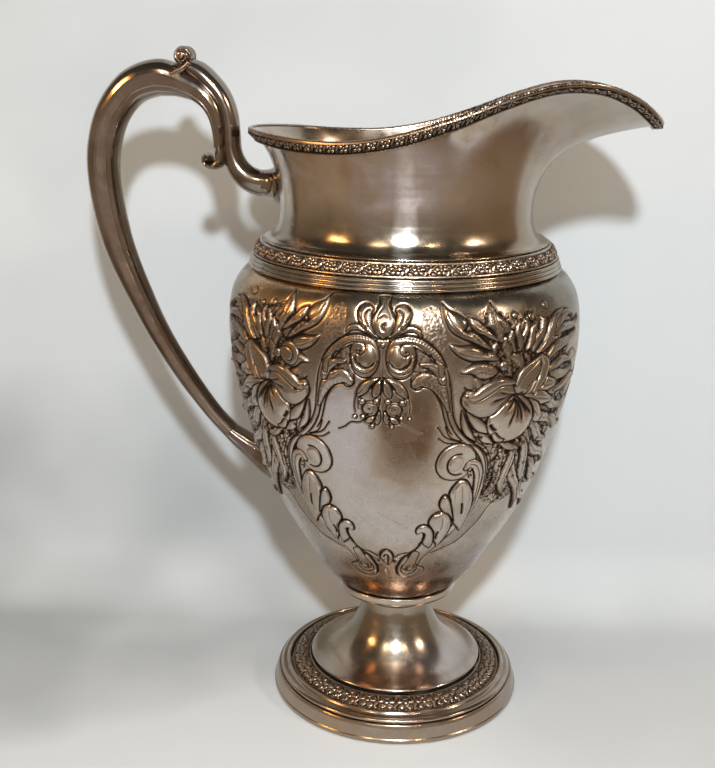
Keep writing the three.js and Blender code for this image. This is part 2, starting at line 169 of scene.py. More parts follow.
class Sheet:
    """Sheet metal laid out flat: relief in mm and darkness from 0 to 1 on a grid of square cells.

    across and up hold the grid's columns and rows, scale the millimetres per unit of each row, and place
    turns an ornament's point into grid units. move shifts or mirrors a point before that.
    """

    def __init__(self, across, up, scale, place):
        self.across, self.up, self.scale, self.place = across, up, scale, place
        self.move = lambda p: p
        self.cell = across[1] - across[0]
        self.ground = np.zeros((len(up), len(across)))
        self.height = self.ground.copy()
        self.dark = self.ground.copy()

    def path(self, points, half=0.5):
        """Grid path through points; half is its half width in mm, one number or one for each point."""
        p = np.array([self.place(self.move(q)) for q in points], float)
        given = np.atleast_1d(np.array(half, float))
        halves = np.interp(np.linspace(0, 1, len(p)), np.linspace(0, 1, len(given)), given)
        size = np.interp(p[:, 1], self.up, self.scale).mean()
        line = spline(np.column_stack([p, halves]), 0.45 / size)
        run = lengths(line) * size
        return np.column_stack([line[:, :2], run, np.maximum(line[:, 2], 0.05)])

    def window(self, line, pad, within=None):
        """First and last row and column of the cells around a line; None where there are none."""
        bounds = []
        for axis, places, k in ((1, self.up, 0), (0, self.across, 2)):
            least, most = within[k:k + 2] if within else (0, len(places))
            first = max(least, int((line[:, axis].min() - pad - places[0]) / self.cell))
            last = min(most, int((line[:, axis].max() + pad - places[0]) / self.cell) + 2)
            if first >= last:
                return None
            bounds += [first, last]
        return bounds

    def near(self, path, reach):
        """Window of cells near a path: slices, distance, run along it, side and half width, in mm."""
        pad = reach / np.interp(path[:, 1], self.up, self.scale).min()
        whole = self.window(path, pad)
        if whole is None:
            return None
        first_row, last_row, first, last = whole
        shape = (last_row - first_row, last - first)
        best = np.full(shape, FAR)
        run, side, half = np.zeros(shape), np.zeros(shape), np.full(shape, path[0, 3])
        for k in range(0, len(path) - 1, STRETCH):
            b = path[k + 1:k + STRETCH + 1]
            a = path[k:k + len(b)]
            part = self.window(np.vstack([a, b]), pad, whole)
            if part is None:
                continue
            r0, r1, c0, c1 = part
            dx = self.across[c0:c1][None, :, None] - a[:, 0]
            dy = self.up[r0:r1][:, None, None] - a[:, 1]
            ex, ey = b[:, 0] - a[:, 0], b[:, 1] - a[:, 1]
            t = np.clip((dx * ex + dy * ey) / np.maximum(ex * ex + ey * ey, 1e-15), 0, 1)
            away = (dx - t * ex) ** 2 + (dy - t * ey) ** 2
            j = away.argmin(axis=2)[:, :, None]
            pick = lambda values: np.take_along_axis(values, j, axis=2)[:, :, 0]
            distance = np.sqrt(pick(away)) * self.scale[r0:r1][:, None]
            here = (slice(r0 - first_row, r1 - first_row), slice(c0 - first, c1 - first))
            closer = distance < best[here]
            blend = lambda column: pick(a[:, column] + t * (b[:, column] - a[:, column]))
            found = ((best, distance), (run, blend(2)), (half, blend(3)), (side,
                     np.sign(pick(ex * dy - ey * dx))))
            for kept, new in found:
                kept[here] = np.where(closer, new, kept[here])
        return (slice(first_row, last_row), slice(first, last)), best, run, side, half

    def emboss(self, points, half, lift, rise, crown=0.6, edge=0.3, groove=0.3, vein=0.0,
               ribs=None, tone=1.0, lobes=None, curl=0.0):
        """Raises a rounded form along a path, with a chased line round it.

        It can have a vein, ribs, lobed edges (their pitch and share of the width) and a tip that curls up.
        """
        path = self.path(points, half)
        found = self.near(path, path[:, 3].max() + GROOVE_ROOM)
        if found is None:
            return
        where, distance, run, _, half = found
        if lobes:
            half = half * (1 - lobes[1] * (0.5 + 0.5 * np.cos(2 * np.pi * run / lobes[0])) ** 2)
        fine = self.cell * self.scale[where[0]][:, None]
        inside = np.clip((half - distance) / fine + 0.5, 0, 1)
        x = np.clip(distance / half, 0, 1)
        tip = smoothstep(run / path[-1, 2], 0.6, 0.9)
        form = lift + rise * (1 - x * x) ** crown + curl * tip * (1 - x * x)
        shade = np.zeros_like(form)
        if vein:
            ends = smoothstep(run, 0, 1.5) * smoothstep(path[-1, 2] - run, 0.5, 3)
            cut = np.exp(-(distance / 0.3) ** 2) * ends
            form, shade = form - vein * cut, np.maximum(shade, 0.75 * cut)
        if ribs:
            pitch, slant, depth = ribs
            cut = (0.5 + 0.5 * np.cos(2 * np.pi * (run + slant * distance) / pitch)) ** 4
            cut = cut * smoothstep(x, 0.08, 0.3)
            form, shade = form - depth * cut, np.maximum(shade, 0.55 * cut)
        self.lay(where, form, inside, shade)
        self.chase(where, np.exp(-((distance - half) / edge) ** 2), groove, tone)

    def chase(self, where, cut, depth, tone):
        self.height[where] -= depth * cut
        np.maximum(self.dark[where], tone * cut, out=self.dark[where])

    def line(self, points, width, depth, tone=1.0, ends=(0.2, 1.2)):
        """Chased line that fades in and out over the given lengths."""
        path = self.path(points)
        found = self.near(path, 4 * width)
        if found:
            where, distance, run, _, _ = found
            fade = smoothstep(run, -0.1, ends[0]) * smoothstep(path[-1, 2] - run, -0.1, ends[1])
            self.chase(where, np.exp(-(distance / width) ** 2) * fade, depth, tone)

    def ball(self, point, radius, lift, rise, **more):
        x, y = point
        self.emboss([(x, y - 0.02), (x, y + 0.02)], radius, lift, rise, **more)

    def dome(self, point, wide, tall, lift, rise, crown=0.6, edge=0.3, groove=0.3, tone=1.0):
        """Rounded boss with an upright elliptical outline of the given half sizes in mm."""
        middle = self.place(self.move(point))
        size = np.interp(middle[1], self.up, self.scale)
        path = np.array([[middle[0], middle[1], 0, 1], [middle[0], middle[1] + 1e-6, 0, 1]])
        found = self.near(path, max(wide, tall) + GROOVE_ROOM)
        if found:
            where = found[0]
            dx = (self.across[where[1]][None] - middle[0]) * size
            dy = (self.up[where[0]][:, None] - middle[1]) * size
            share = np.hypot(dx / wide, dy / tall)
            gap = (share - 1) * np.hypot(dx, dy) / np.maximum(share, 1e-6)
            form = lift + rise * np.maximum(1 - share * share, 0) ** crown
            self.lay(where, form, np.clip(0.5 - gap / (self.cell * size), 0, 1), 0.0)
            self.chase(where, np.exp(-(gap / edge) ** 2), groove, tone)

    def plate(self, outline, swell, lift, rise, crown=0.6, edge=0.34, groove=0.45):
        """Raised form inside an outline that starts at a pointed end; it rises over swell mm inwards."""
        path = self.path(list(outline) + [outline[0]])
        where, distance, _, _, _ = self.near(path, max(swell, GROOVE_ROOM) + 0.4)
        x, y = self.across[where[1]][None, :, None], self.up[where[0]][:, None, None]
        ax, ay, bx, by = path[:-1, 0], path[:-1, 1], path[1:, 0], path[1:, 1]
        rise_to = np.where(np.abs(by - ay) < 1e-12, 1e-12, by - ay)
        crossed = ((ay > y) != (by > y)) & (x < (bx - ax) * (y - ay) / rise_to + ax)
        within = crossed.sum(axis=2) % 2 == 1
        fine = self.cell * self.scale[where[0]][:, None]
        inside = np.clip(np.where(within, distance, -distance) / fine + 0.5, 0, 1)
        share = np.clip(distance / swell, 0, 1)
        form = lift + rise * (1 - (1 - share) ** 2) ** crown
        self.lay(where, form, inside, 0.0)
        self.chase(where, np.exp(-(distance / edge) ** 2), groove, 1.0)

    def lay(self, where, form, inside, shade):
        """Puts a form on the ground where inside is 1, lower where the ground lies less deep."""
        form = form * np.clip((0.25 - self.ground[where]) / FULL_DEPTH, 0.2, 1)
        height, dark = self.height[where], self.dark[where]
        height += (self.ground[where] + form - height) * inside
        dark += (shade - dark) * inside

    def hole(self, point, radius, depth=0.5):
        """Round punched hollow."""
        x, y = point
        self.line([(x, y - 0.02), (x, y + 0.02)], radius, depth, ends=(0.001, 0.001))

    def leaf(self, points, half, **more):
        """Pointed leaf from its base to its tip."""
        shape = half * np.array([0.3, 0.72, 0.95, 1.0, 0.92, 0.74, 0.5, 0.16])
        self.emboss(points, shape, **{"lift": 0.3, "rise": 0.62, "crown": 0.55, "vein": 0.3, **more})

    def punch(self, points, pitch, radius, depth, tone):
        """Row of small punched dots along a path."""
        path = self.path(points)
        found = self.near(path, 3 * radius)
        if found:
            where, distance, run, _, _ = found
            beside = (run / pitch - np.round(run / pitch)) * pitch
            inside = (run > 0.01) & (run < path[-1, 2] - 0.01)
            cut = np.exp(-((distance ** 2 + beside ** 2) / radius ** 2)) * inside
            self.chase(where, cut, depth, tone)

    def hatch(self, points, half, pitch, slant, depth, tone):
        """Fine strokes across a band."""
        path = self.path(points, half)
        found = self.near(path, path[:, 3].max() + 0.6)
        if found:
            where, distance, run, side, half = found
            inside = smoothstep(half - distance, 0, 0.5)
            cut = (0.5 + 0.5 * np.cos(2 * np.pi * (run + slant * side * distance) / pitch)) ** 3
            self.chase(where, cut * inside, depth, tone)

    def mat(self, points, half, grain, depth, tone):
        """Stippled ground over a broad band; grain is a field of pits from 0 to 1."""
        path = self.path(points, half)
        found = self.near(path, path[:, 3].max() + 1)
        if found:
            where, distance, _, _, half = found
            self.chase(where, grain[where] * smoothstep(half - distance, -0.4, 0.6), depth, tone)


# ---------------------------------------------------------------- the chased body

def body_radius(z):
    """Outer radius of the body at each height."""
    places, radii = np.array(BODY_HEIGHT, float), np.array(BODY_RADIUS, float)
    return cubic(np.atleast_1d(np.asarray(z, float)), places, radii, pchip_slopes(places, radii))


# Height and level of the ground under the ornament, mm
GROUND_LEVELS = [
    (62, 0), (67, -0.55), (86, -0.7), (108, -1.75), (170, -1.75), (179, -1.2), (187, 0), (190, 0),
]


def body_sheet():
    """Front half of the ornamented zone, from the handle side at -90 degrees to the spout side at 90."""
    fine = np.linspace(RELIEF_LOW, RELIEF_HIGH, 1200)
    radius = body_radius(fine)
    run = np.hypot(np.diff(fine), np.diff(radius)) / (0.5 * (radius[1:] + radius[:-1]))
    rise = np.concatenate([[0], np.cumsum(run)])
    cell = 2 * math.pi / BODY_COLUMNS
    rows = int(rise[-1] / cell) + 1
    up = np.linspace(0, rise[-1], rows)
    across = np.linspace(-math.pi / 2, math.pi / 2, BODY_COLUMNS // 2 + 1)
    height = np.interp(up, rise, fine)
    place = lambda p: (p[0] * DEGREE, np.interp(p[1], fine, rise))
    sheet = Sheet(across, up, np.interp(up, rise, radius), place)
    ground = np.interp(height, *np.array(GROUND_LEVELS, float).T)
    sheet.ground[:] = blur(ground[:, None], 8)
    sheet.height[:] = sheet.ground
    sheet.z = height
    return sheet


# Places on the sheet are degrees from -Y towards the spout, then heights in mm
SEED = 7
CARTOUCHE_TURN = 1.2     # the cartouche's middle
SPOUT_SPRAY, HANDLE_SPRAY = 44.5, -39
HEART = (47, 146)        # where the spray's small leaves grow from
SMALL_LEAVES = 74
FRAME_BAND = [
    (4, 173.5), (9, 173.8), (13.5, 171.5), (17, 167), (19.3, 161), (20.5, 155), (21.2, 149), (22.2, 143.5),
    (24, 139), (26.5, 135.3), (29.5, 132), (33.5, 128.5), (36.5, 123.5), (37.7, 117), (37.7, 111),
    (37, 105), (34.5, 99), (31, 94), (27, 89), (22.5, 84), (18.5, 79.5), (15.5, 76),
]


def stippled_ground(s, grain):
    """Matted ground above and inside the upper scrolls and between the flowers."""
    s.mat([(15, 183), (15.6, 174), (13, 166), (15, 160)], [2.5, 5, 6, 3], grain, depth=0.12, tone=0.75)
    s.mat([(34, 176), (46, 160), (50, 142), (50, 118)], [8, 26, 27, 17], grain, depth=0.14, tone=0.9)


def scroll_frame(s):
    """Long double line of scrollwork down one side of the cartouche."""
    fringe = [(38.5, 110), (40, 104), (38.5, 98), (35, 92), (30.5, 87), (25, 82.5), (20, 79)]
    s.hatch(fringe, [2.5, 4.6, 5.2, 5.2, 4.8, 3.2, 1.2], 0.95, 0.9, depth=0.22, tone=0.75)
    s.line([(50, 103.5), (46, 101), (42.5, 94), (39, 90), (34, 85), (28, 82.5), (22, 80)], 0.4, 0.28, 0.8)
    s.emboss(FRAME_BAND, [1.2, 1.35, 1.3, 1.1, 0.95, 1, 1.3, 1.5, 1.5, 1.4, 1.2, 0.9], lift=0.3, rise=0.35,
             groove=0.4, edge=0.34)
    s.line([(20.6, 160), (21.3, 152), (22, 146), (24.2, 140.5), (27.5, 136), (31, 132.8)], 0.24, 0.2, 0.85)
    s.line([(19.8, 154), (20.4, 148), (21.4, 143.5), (23.5, 138.5)], 0.22, 0.18, 0.8)
    s.punch([(20.6, 158), (21.2, 152), (21.6, 147), (22.6, 142), (25, 137.5)], 1.1, 0.36, 0.25, 0.9)
    s.line([(30, 133.8), (36, 129.3), (39.6, 121), (40.2, 113), (39.3, 107)], 0.28, 0.28)
    s.line([(36.8, 118), (36.9, 112), (36, 105), (33, 98.5)], 0.26, 0.22, 0.85)
    for k in range(3):
        s.line([(38.2 - 1.1 * k, 102 - 1.8 * k), (33 - 1.4 * k, 94 - 2 * k), (25, 86 - 1.2 * k)], 0.22,
               0.16, 0.7)


def upper_volute(s):
    """Volute into which the frame winds, with a polished eye, on each side of the top bud."""
    s.dome((6.5, 166.9), 5.5, 8.1, lift=0.4, rise=0.2, crown=0.5, groove=0.55, edge=0.38)
    s.emboss([(5.4, 173), (8.6, 173.4), (11.6, 172.2), (14.4, 169.8)], [1, 1.5, 1.8, 1.6], lift=0.58,
             rise=0, groove=0)
    s.line([(4.6, 174.4), (8, 175.1), (12, 174.1), (15.4, 171.4), (18.4, 167.4), (20.2, 162.6)], 0.36, 0.4)
    s.punch([(4.6, 173.4), (8, 174), (11.6, 173.1), (14.8, 170.6), (17.6, 166.8), (19.2, 162.6)], 1.15,
            0.42, 0.3, 0.95)
    s.dome((5.5, 166.8), 3.3, 4.6, lift=0.5, rise=1.15, crown=0.7, groove=0.1, tone=0.3)
    s.emboss([(9.9, 166.4), (9.4, 163.9), (7.6, 162), (5.6, 161.8), (3.9, 163.2), (3, 165.4)],
             [0.5, 0.8, 0.9, 0.9, 0.7, 0.3], lift=0.55, rise=0.4, groove=0.3)
    s.line([(9.1, 168), (9, 165.6), (7.8, 163.7), (6, 163), (4.5, 163.6), (3.4, 165.4)], 0.34, 0.5)
    s.line([(15.6, 165.4), (13.6, 169), (11.2, 171.4), (8.6, 172.2), (6.5, 171.4), (6.2, 169.4), (7, 167.9),
            (8.3, 167.7), (8.9, 168.9), (8.1, 169.7)], 0.34, 0.5)
    s.line([(9.2, 168.5), (10.6, 167.2), (10.9, 165.2), (10.2, 162.8)], 0.3, 0.32)
    s.hole((8, 169), 0.6)
    s.punch([(2.6, 161.6), (4.6, 159.7), (7, 159.2), (9.4, 160.6)], 0.8, 0.3, 0.2, 0.55)


def inner_acanthus(s):
    """Acanthus that hooks into the reserve under the upper volute."""
    s.emboss([(21, 146.5), (19.6, 151.5), (17.3, 156.5), (13, 158.8), (10.6, 157)],
             [0.5, 1.5, 2.6, 2.6, 1.5], lift=0.25, rise=0.5, ribs=(2.3, 0.9, 0.14))
    s.emboss([(18.8, 158), (17.8, 161.5), (15.2, 164), (12.3, 164.7)], [1.3, 1.8, 1.4, 0.8], lift=0.35,
             rise=0.5, vein=0.25)
    s.emboss([(18.3, 160.5), (18.2, 163.5), (16.6, 166)], [1, 1.1, 0.4], lift=0.3, rise=0.4)
    s.hole((14.3, 163.3), 0.5)
    s.line([(9.6, 160), (9.6, 157), (10.7, 154.9), (12.2, 155), (13, 155.9), (15.2, 155.2), (17.4, 152.3),
            (19, 148), (20.2, 143), (21.6, 139), (23.2, 136)], 0.36, 0.38)
    s.line([(18.4, 157.2), (15.5, 158.2), (13.2, 160.8)], 0.26, 0.25, 0.8)
    for tip in [(18.3, 139.8), (20.8, 139.8), (18.8, 135.2)]:
        s.line([(28.3, 132.3), (0.55 * tip[0] + 11.2, 0.5 * tip[1] + 65.5), tip], 0.34, 0.32,
               ends=(1.5, 0.1))
        s.hole(tip, 0.42, 0.25)


def lower_volute(s):
    """Round volute at the cartouche's widest place, with a polished boss."""
    s.emboss([(26, 124.2), (26.1, 124.8)], 8, lift=0.3, rise=0.45, crown=0.45, groove=0.45, edge=0.36)
    s.emboss([(25.4, 124), (25.8, 124.6)], 3.1, lift=0.6, rise=0.55, groove=0.1, tone=0.2)
    s.line([(27.5, 128.2), (25, 127.9), (23.3, 126), (22.9, 123), (24, 120.3), (26.4, 119), (29, 119.6)],
           0.4, 0.45)
    s.emboss([(36.3, 104), (36.1, 112), (35.2, 119), (33.2, 122.6), (31, 123.2), (29.7, 121.6)],
             [0.7, 1.4, 1.9, 2.1, 1.7, 1], lift=0.35, rise=0.55, groove=0.42, vein=0.2)
    s.hole((30.6, 120.6), 0.62)
    s.ball((31.4, 119.2), 0.75, lift=0.45, rise=0.5)
    s.ball((32.2, 117.4), 0.6, lift=0.35, rise=0.4)
    s.line([(29, 132.2), (33, 130), (36.2, 125), (38, 118.5), (38.5, 112)], 0.32, 0.3)
    s.hatch([(22, 131), (26, 131.6), (30.5, 129.5)], 1.5, 0.9, 0.2, depth=0.1, tone=0.35)


def falling_leaves(s):
    """Acanthus leaves that hang down inside the frame, each with its pierced slit, and their stem."""
    s.plate([(29, 89), (26, 86.4), (23, 86.4), (17.6, 87), (15.8, 83.4), (12.6, 80.6), (11.4, 77), (10, 74),
             (14, 72), (17.6, 73.4), (18.8, 76.4), (21, 79.8), (24.4, 83.8)], 1.6, lift=0.2, rise=0.4)
    s.hatch([(27, 87), (22, 82), (18, 77)], [0.9, 1.2, 0.9], 0.85, 0.9, depth=0.14, tone=0.55)
    s.plate([(34, 91), (29.8, 96), (27.4, 99.6), (26.2, 104), (25.5, 108), (25.6, 111), (26.8, 114),
             (28.8, 116.2), (31, 115.7), (33.4, 112.6), (35.2, 108.6), (36, 104), (35.6, 98.6)], 2.5,
            lift=0.3, rise=1.0)
    s.plate([(29.6, 97), (26.4, 100.4), (23.6, 102.8), (22.4, 105.2), (22.6, 107.6), (23.8, 109.7),
             (25.4, 108.8), (26.6, 106.2), (28, 102)], 1.7, lift=0.45, rise=0.8)
    s.line([(29.4, 114.4), (30.4, 110), (31.2, 106)], 0.36, 0.2, 0.4)
    s.line([(27.4, 112), (27.8, 107), (28.6, 102)], 0.3, 0.16, 0.4)
    s.line([(33, 111), (33.8, 106), (33.6, 101)], 0.3, 0.16, 0.4)
    s.line([(31, 106), (31.7, 103), (32.1, 100)], 0.55, 0.6)
    s.line([(24.6, 109.6), (25.8, 108.4), (26.6, 106.6)], 0.4, 0.45)
    s.plate([(25, 84), (22.8, 88), (22, 92), (20.4, 94.4), (19.2, 96.6), (19.6, 99), (21.2, 101),
             (23.4, 101.8), (25.6, 101.4), (27.6, 99.4), (28.9, 96), (28.7, 92), (27.2, 88)], 2.1, lift=0.3,
            rise=0.95)
    s.line([(23.6, 101.4), (22, 101.2), (20.8, 100.4)], 0.5, 0.45)
    s.line([(24.2, 99.6), (24.9, 96), (24.6, 92.6)], 0.34, 0.2, 0.4)
    s.line([(27.2, 97), (27.4, 93), (26.4, 89)], 0.28, 0.16, 0.4)
    s.line([(24, 92.8), (23.4, 90.6), (23.6, 88)], 0.52, 0.55)
    s.plate([(21.6, 83.6), (18, 86.6), (18.2, 89.8), (17.9, 91.6), (16.6, 92.2), (15, 91.2), (14.4, 93.4),
             (15.2, 95), (17.4, 95.9), (19.8, 94.9), (21.6, 92.6), (22.4, 89.4), (22.6, 86.4)], 1.5,
            lift=0.4, rise=0.8)
    s.line([(16.7, 92.4), (18.1, 91), (18.1, 88.6), (17, 85.4), (14.8, 82.4), (12, 80.4)], 0.44, 0.45)


def bottom_volutes(s):
    """Volutes and small palmette where the cartouche closes at the bottom."""
    s.plate([(10.8, 79.6), (8.2, 76), (6.6, 72.6), (6.8, 69.2), (8.8, 66.9), (12.4, 66), (17.4, 66.5),
             (21.4, 67.9), (22.6, 70), (21.2, 72.2), (18.4, 73.2), (16.4, 75), (13.6, 77.6)], 1.5,
            lift=0.35, rise=0.45)
    s.emboss([(15.4, 81), (14, 76.6), (12.6, 73)], [1.6, 1.9, 2.2], lift=0.62, rise=0, groove=0)
    s.line([(17, 74.2), (17.4, 71.4), (15.6, 69.1), (12.4, 68.5), (9.6, 69.9), (8.9, 72.6), (10.4, 75)],
           0.36, 0.45)
    s.line([(16.6, 72.4), (15, 74.2), (12.2, 73.4), (11.6, 71.4), (13, 70)], 0.32, 0.35)
    s.dome((14, 71.9), 1.2, 1.4, lift=0.5, rise=0.6)
    s.line([(12.6, 80.2), (10.2, 78.6), (8.2, 75.4), (6.7, 71.4), (7.2, 67.6)], 0.55, 0.5, ends=(1, 1))
    s.line([(5.4, 78.2), (8.2, 80.2), (11.4, 81), (13.2, 80)], 0.38, 0.4)
    s.line([(5.4, 76.8), (5.4, 74.8)], 0.8, 0.4, 0.8, ends=(0.4, 0.4))


def top_palmette(s):
    """Curled leaves on each side of the bud."""
    s.emboss([(3.6, 174.4), (6.6, 176.8), (9.4, 177.6), (11.4, 176.6), (12, 174.8)],
             [0.7, 1.1, 1.3, 1, 0.4], lift=0.3, rise=0.6, groove=0.4)
    s.plate([(2, 173.4), (4.6, 175), (7.4, 177.4), (9, 180.4), (9.4, 183), (8, 185.2), (5.8, 185.2),
             (4.4, 183.6), (4.9, 182.4), (4.5, 180), (3.4, 177.4)], 2, lift=0.45, rise=0.9, edge=0.36)
    s.line([(3.2, 174.8), (5.6, 177.8), (6.8, 180.6), (6.6, 182.8), (5.4, 183.5), (4.9, 182.6)], 0.36, 0.4)
    s.line([(8.4, 184.6), (8.9, 182.2), (8, 180.2), (7, 179.8)], 0.32, 0.34)
    s.hole((6.4, 177.4), 0.55)
    s.line([(3, 187), (3.2, 185), (4.2, 183.4)], 0.3, 0.3)


def middle_ornament(s):
    """Bud over the cartouche and the stem of the bouquet that hangs into it."""
    s.plate([(1.2, 173.4), (-1, 175.4), (-2.3, 178.4), (-2.2, 181.2), (-0.9, 183.8), (-0.2, 185.6),
             (-0.6, 187.4), (3, 187.4), (2.6, 185.6), (3.3, 183.8), (4.6, 181.2), (4.7, 178.4),
             (3.4, 175.4)], 3, lift=0.45, rise=1.0, groove=0.5, edge=0.38)
    s.line([(1.1, 187), (1, 184.8), (-0.3, 182.4), (-1, 179.4)], 0.3, 0.3)
    s.line([(1.6, 187), (1.8, 184.6), (2.9, 182.2), (3.5, 179.6)], 0.3, 0.26)
    s.line([(2, 179), (0.9, 178.2), (1.2, 176.9), (2, 176.2)], 0.4, 0.5)
    s.line([(-0.2, 180.8), (1.2, 181.8), (2.6, 180.8)], 0.3, 0.32)
    s.dome((1.2, 171.3), 0.95, 1, lift=0.3, rise=0.35)
    s.hole((1.2, 171.3), 0.3, 0.3)
    s.line([(1.2, 170), (1.2, 164), (1.3, 158), (0.6, 150), (-0.4, 143.5)], 0.26, 0.3, 0.9)
    s.plate([(1.8, 73.4), (-0.6, 75.6), (-1.8, 78), (-0.6, 80.8), (1.4, 82.4), (3.4, 81.6), (4.8, 79),
             (4.2, 76)], 1.2, lift=0.3, rise=0.5)
    s.line([(-2, 76.5), (-1.9, 80), (0, 82.5), (2.4, 82.5), (4.3, 80.2), (4.9, 77.6)], 0.42, 0.4)
    s.line([(0, 78.4), (0.8, 80), (1.9, 79.6), (2.2, 76.6), (1.7, 73.4)], 0.44, 0.45)
    s.line([(1.2, 72), (1.4, 66), (1.6, 60)], 0.4, 0.14, 0.35, ends=(2, 5))


def pendant_side(s):
    """Half of the bouquet under the bud: a three-lobed leaf, a rose, its tendrils and small berries."""
    s.plate([(1.6, 159.3), (4.6, 158.7), (7.2, 156.7), (8.6, 153.9), (8.8, 151.4), (6.8, 152.4),
             (5.4, 153.8), (4.4, 156)], 1.2, lift=0.3, rise=0.5)
    s.plate([(1.6, 158.8), (3.5, 156.4), (4.2, 153.8), (3.7, 151.4), (2.2, 152.4), (1.4, 155.2)], 0.9,
            lift=0.25, rise=0.4)
    s.line([(3.6, 157.2), (5.4, 156.4), (7.4, 153.6)], 0.26, 0.2, 0.6)
    s.line([(4.4, 156.2), (4.7, 154.9), (4.8, 154)], 0.5, 0.5)
    s.dome((4.9, 147), 3, 3.1, lift=0.25, rise=0.35)
    s.dome((7.3, 149.6), 1.3, 1.2, lift=0.3, rise=0.3)
    s.dome((2.9, 150), 1.2, 1.1, lift=0.25, rise=0.3)
    s.line([(3.1, 147.2), (4, 149), (6, 149), (7, 147.2), (6.2, 145.3), (4.2, 145.3), (3.6, 146.7)], 0.28,
           0.32)
    s.hole((5, 147.1), 0.6, 0.45)
    s.line([(6.8, 154.6), (8.8, 152), (9.5, 148), (9.2, 144.4)], 0.3, 0.32, 0.9)
    s.line([(7.6, 151.6), (8.4, 149), (8.2, 145.8)], 0.26, 0.26, 0.8)
    s.plate([(1.8, 146.6), (2.9, 144.8), (3.6, 142.4), (2.8, 140.6), (1.7, 142.4)], 0.7, lift=0.2, rise=0.4)
    s.plate([(3.4, 144.2), (5.2, 143.6), (6.6, 141.6), (4.8, 141.2), (3.7, 142.4)], 0.7, lift=0.2, rise=0.4)
    for spot, size in [((4.2, 140), 0.9), ((7, 143.6), 0.9), ((9.5, 143.4), 0.8), ((8, 150.4), 0.5)]:
        s.ball(spot, size, lift=0.35, rise=0.5)
    for spot in [(3, 143), (5.6, 144.6)]:
        s.hole(spot, 0.5)


def tendrils(s):
    """Fine lines that run out from under the palmette, one to each side."""
    s.line([(-3.6, 142.8), (-6, 141.2), (-8.6, 140.9), (-10.6, 138.9), (-13, 137.5)], 0.34, 0.3,
           ends=(0.5, 0.2))
    s.line([(6.6, 141.4), (9, 140.2), (11, 138.4), (14.5, 137)], 0.26, 0.2, 0.7)


# Long leaves round the blossom, from base to tip, with the half width in mm
SPRAY_LEAVES = [
    ([(53, 165), (60, 173), (70, 177), (74, 176)], 2.4),
    ([(54, 160), (62, 165), (70, 167.5), (76, 167)], 2.4),
    ([(54, 157), (62, 158.5), (72, 158.5)], 2.3),
    ([(54, 153), (64, 153.5), (75, 153.5)], 2.4),
    ([(55, 150), (64, 147.5), (73, 146)], 2.4),
    ([(55, 146), (63, 142), (72, 139)], 2.4),
    ([(53, 142), (60, 137), (68, 132)], 2.4),
    ([(52, 137), (58, 131), (67, 125)], 2.5),
    ([(52, 134), (56, 127), (63, 119), (70, 113)], 2.5),
    ([(51, 131), (53, 124), (58, 114), (66, 104)], 2.5),
    ([(49, 130), (50, 122), (53, 113), (59, 103), (66, 97)], 2.5),
    ([(47, 129), (47, 120), (48, 110), (49, 104)], 2.4),
    ([(44, 129), (43.5, 122), (43, 114), (42, 107)], 2),
    ([(37, 134), (45, 128.5), (52, 127)], 1.9),
    ([(56, 128), (64, 121), (74, 115)], 2.3),
    ([(60, 119), (67, 110), (76, 104)], 2.3),
    ([(60, 110), (66, 100), (76, 94)], 2.1),
    ([(64, 136), (72, 131), (80, 128)], 2.1),
    ([(62, 148), (72, 149), (81, 150)], 2),
    ([(60, 170), (70, 171.5), (79, 172)], 2),
    ([(51, 165), (56, 170), (61, 176), (65, 180)], 2.5),
    ([(49, 166), (52.5, 172), (54.4, 178)], 2.2),
    ([(46.5, 167), (49, 173), (50.4, 177.6)], 1.7),
    ([(44.6, 167), (45.6, 173), (47, 178.6)], 1.5),
    ([(43.6, 167), (43, 173), (43.4, 178.6)], 1.5),
    ([(42, 167), (40, 172), (40.4, 176.4)], 1.7),
    ([(39, 165.4), (38.6, 169), (37.6, 173.4)], 2),
]
# Outlines of the broad curled leaves between the frame and the blossom, from the tip round
BROAD_LEAVES = [
    [(18.8, 186), (20.6, 183.8), (23.4, 182.4), (25.6, 180.4), (26, 178.2), (25, 176.6), (28, 175.8),
     (30.6, 173.2), (34, 168.6), (30.6, 169.8), (27.6, 172), (24, 174), (21, 176.4), (19.2, 180.6)],
    [(26.2, 181.4), (29, 180.4), (31.2, 177.8), (33.4, 175.6), (37, 171), (34.6, 172), (31.4, 174),
     (28.6, 175.6), (27, 178)],
    [(34.8, 185.4), (36.2, 181.8), (38.6, 179.2), (40.2, 176.8), (39.6, 174.4), (38, 174), (37, 170.6),
     (35, 174.2), (32.8, 177.6), (32.6, 181)],
    [(37, 164.4), (31.6, 164.8), (26.4, 165.4), (22.6, 168), (20, 172), (23.4, 171), (27.4, 170.8),
     (31.4, 168.8), (34.6, 167.4)],
    [(36.6, 160.2), (34.2, 162.8), (30.4, 164.4), (26.6, 163.2), (24, 160.8), (27.4, 160.4),
     (29.8, 158.4), (33, 158)],
]
# Slits chased into the broad leaves, with the width of the line in mm
LEAF_SLITS = [
    ([(20, 183), (21.6, 179.4), (24.6, 176.6), (29, 173.4)], 0.34),
    ([(27.6, 174.4), (30.6, 171)], 0.6),
    ([(27.4, 179.8), (29.4, 177.4), (33, 174.6)], 0.34),
    ([(36.2, 178.2), (37.4, 176.4), (38.6, 175)], 0.6),
    ([(34.6, 183), (34.6, 179), (36.6, 173)], 0.34),
    ([(22, 170.4), (26, 168.4), (33, 166.6)], 0.34),
    ([(30, 168.6), (33, 167)], 0.6),
    ([(26, 161.4), (30, 162.2), (34.6, 160.6)], 0.34),
]


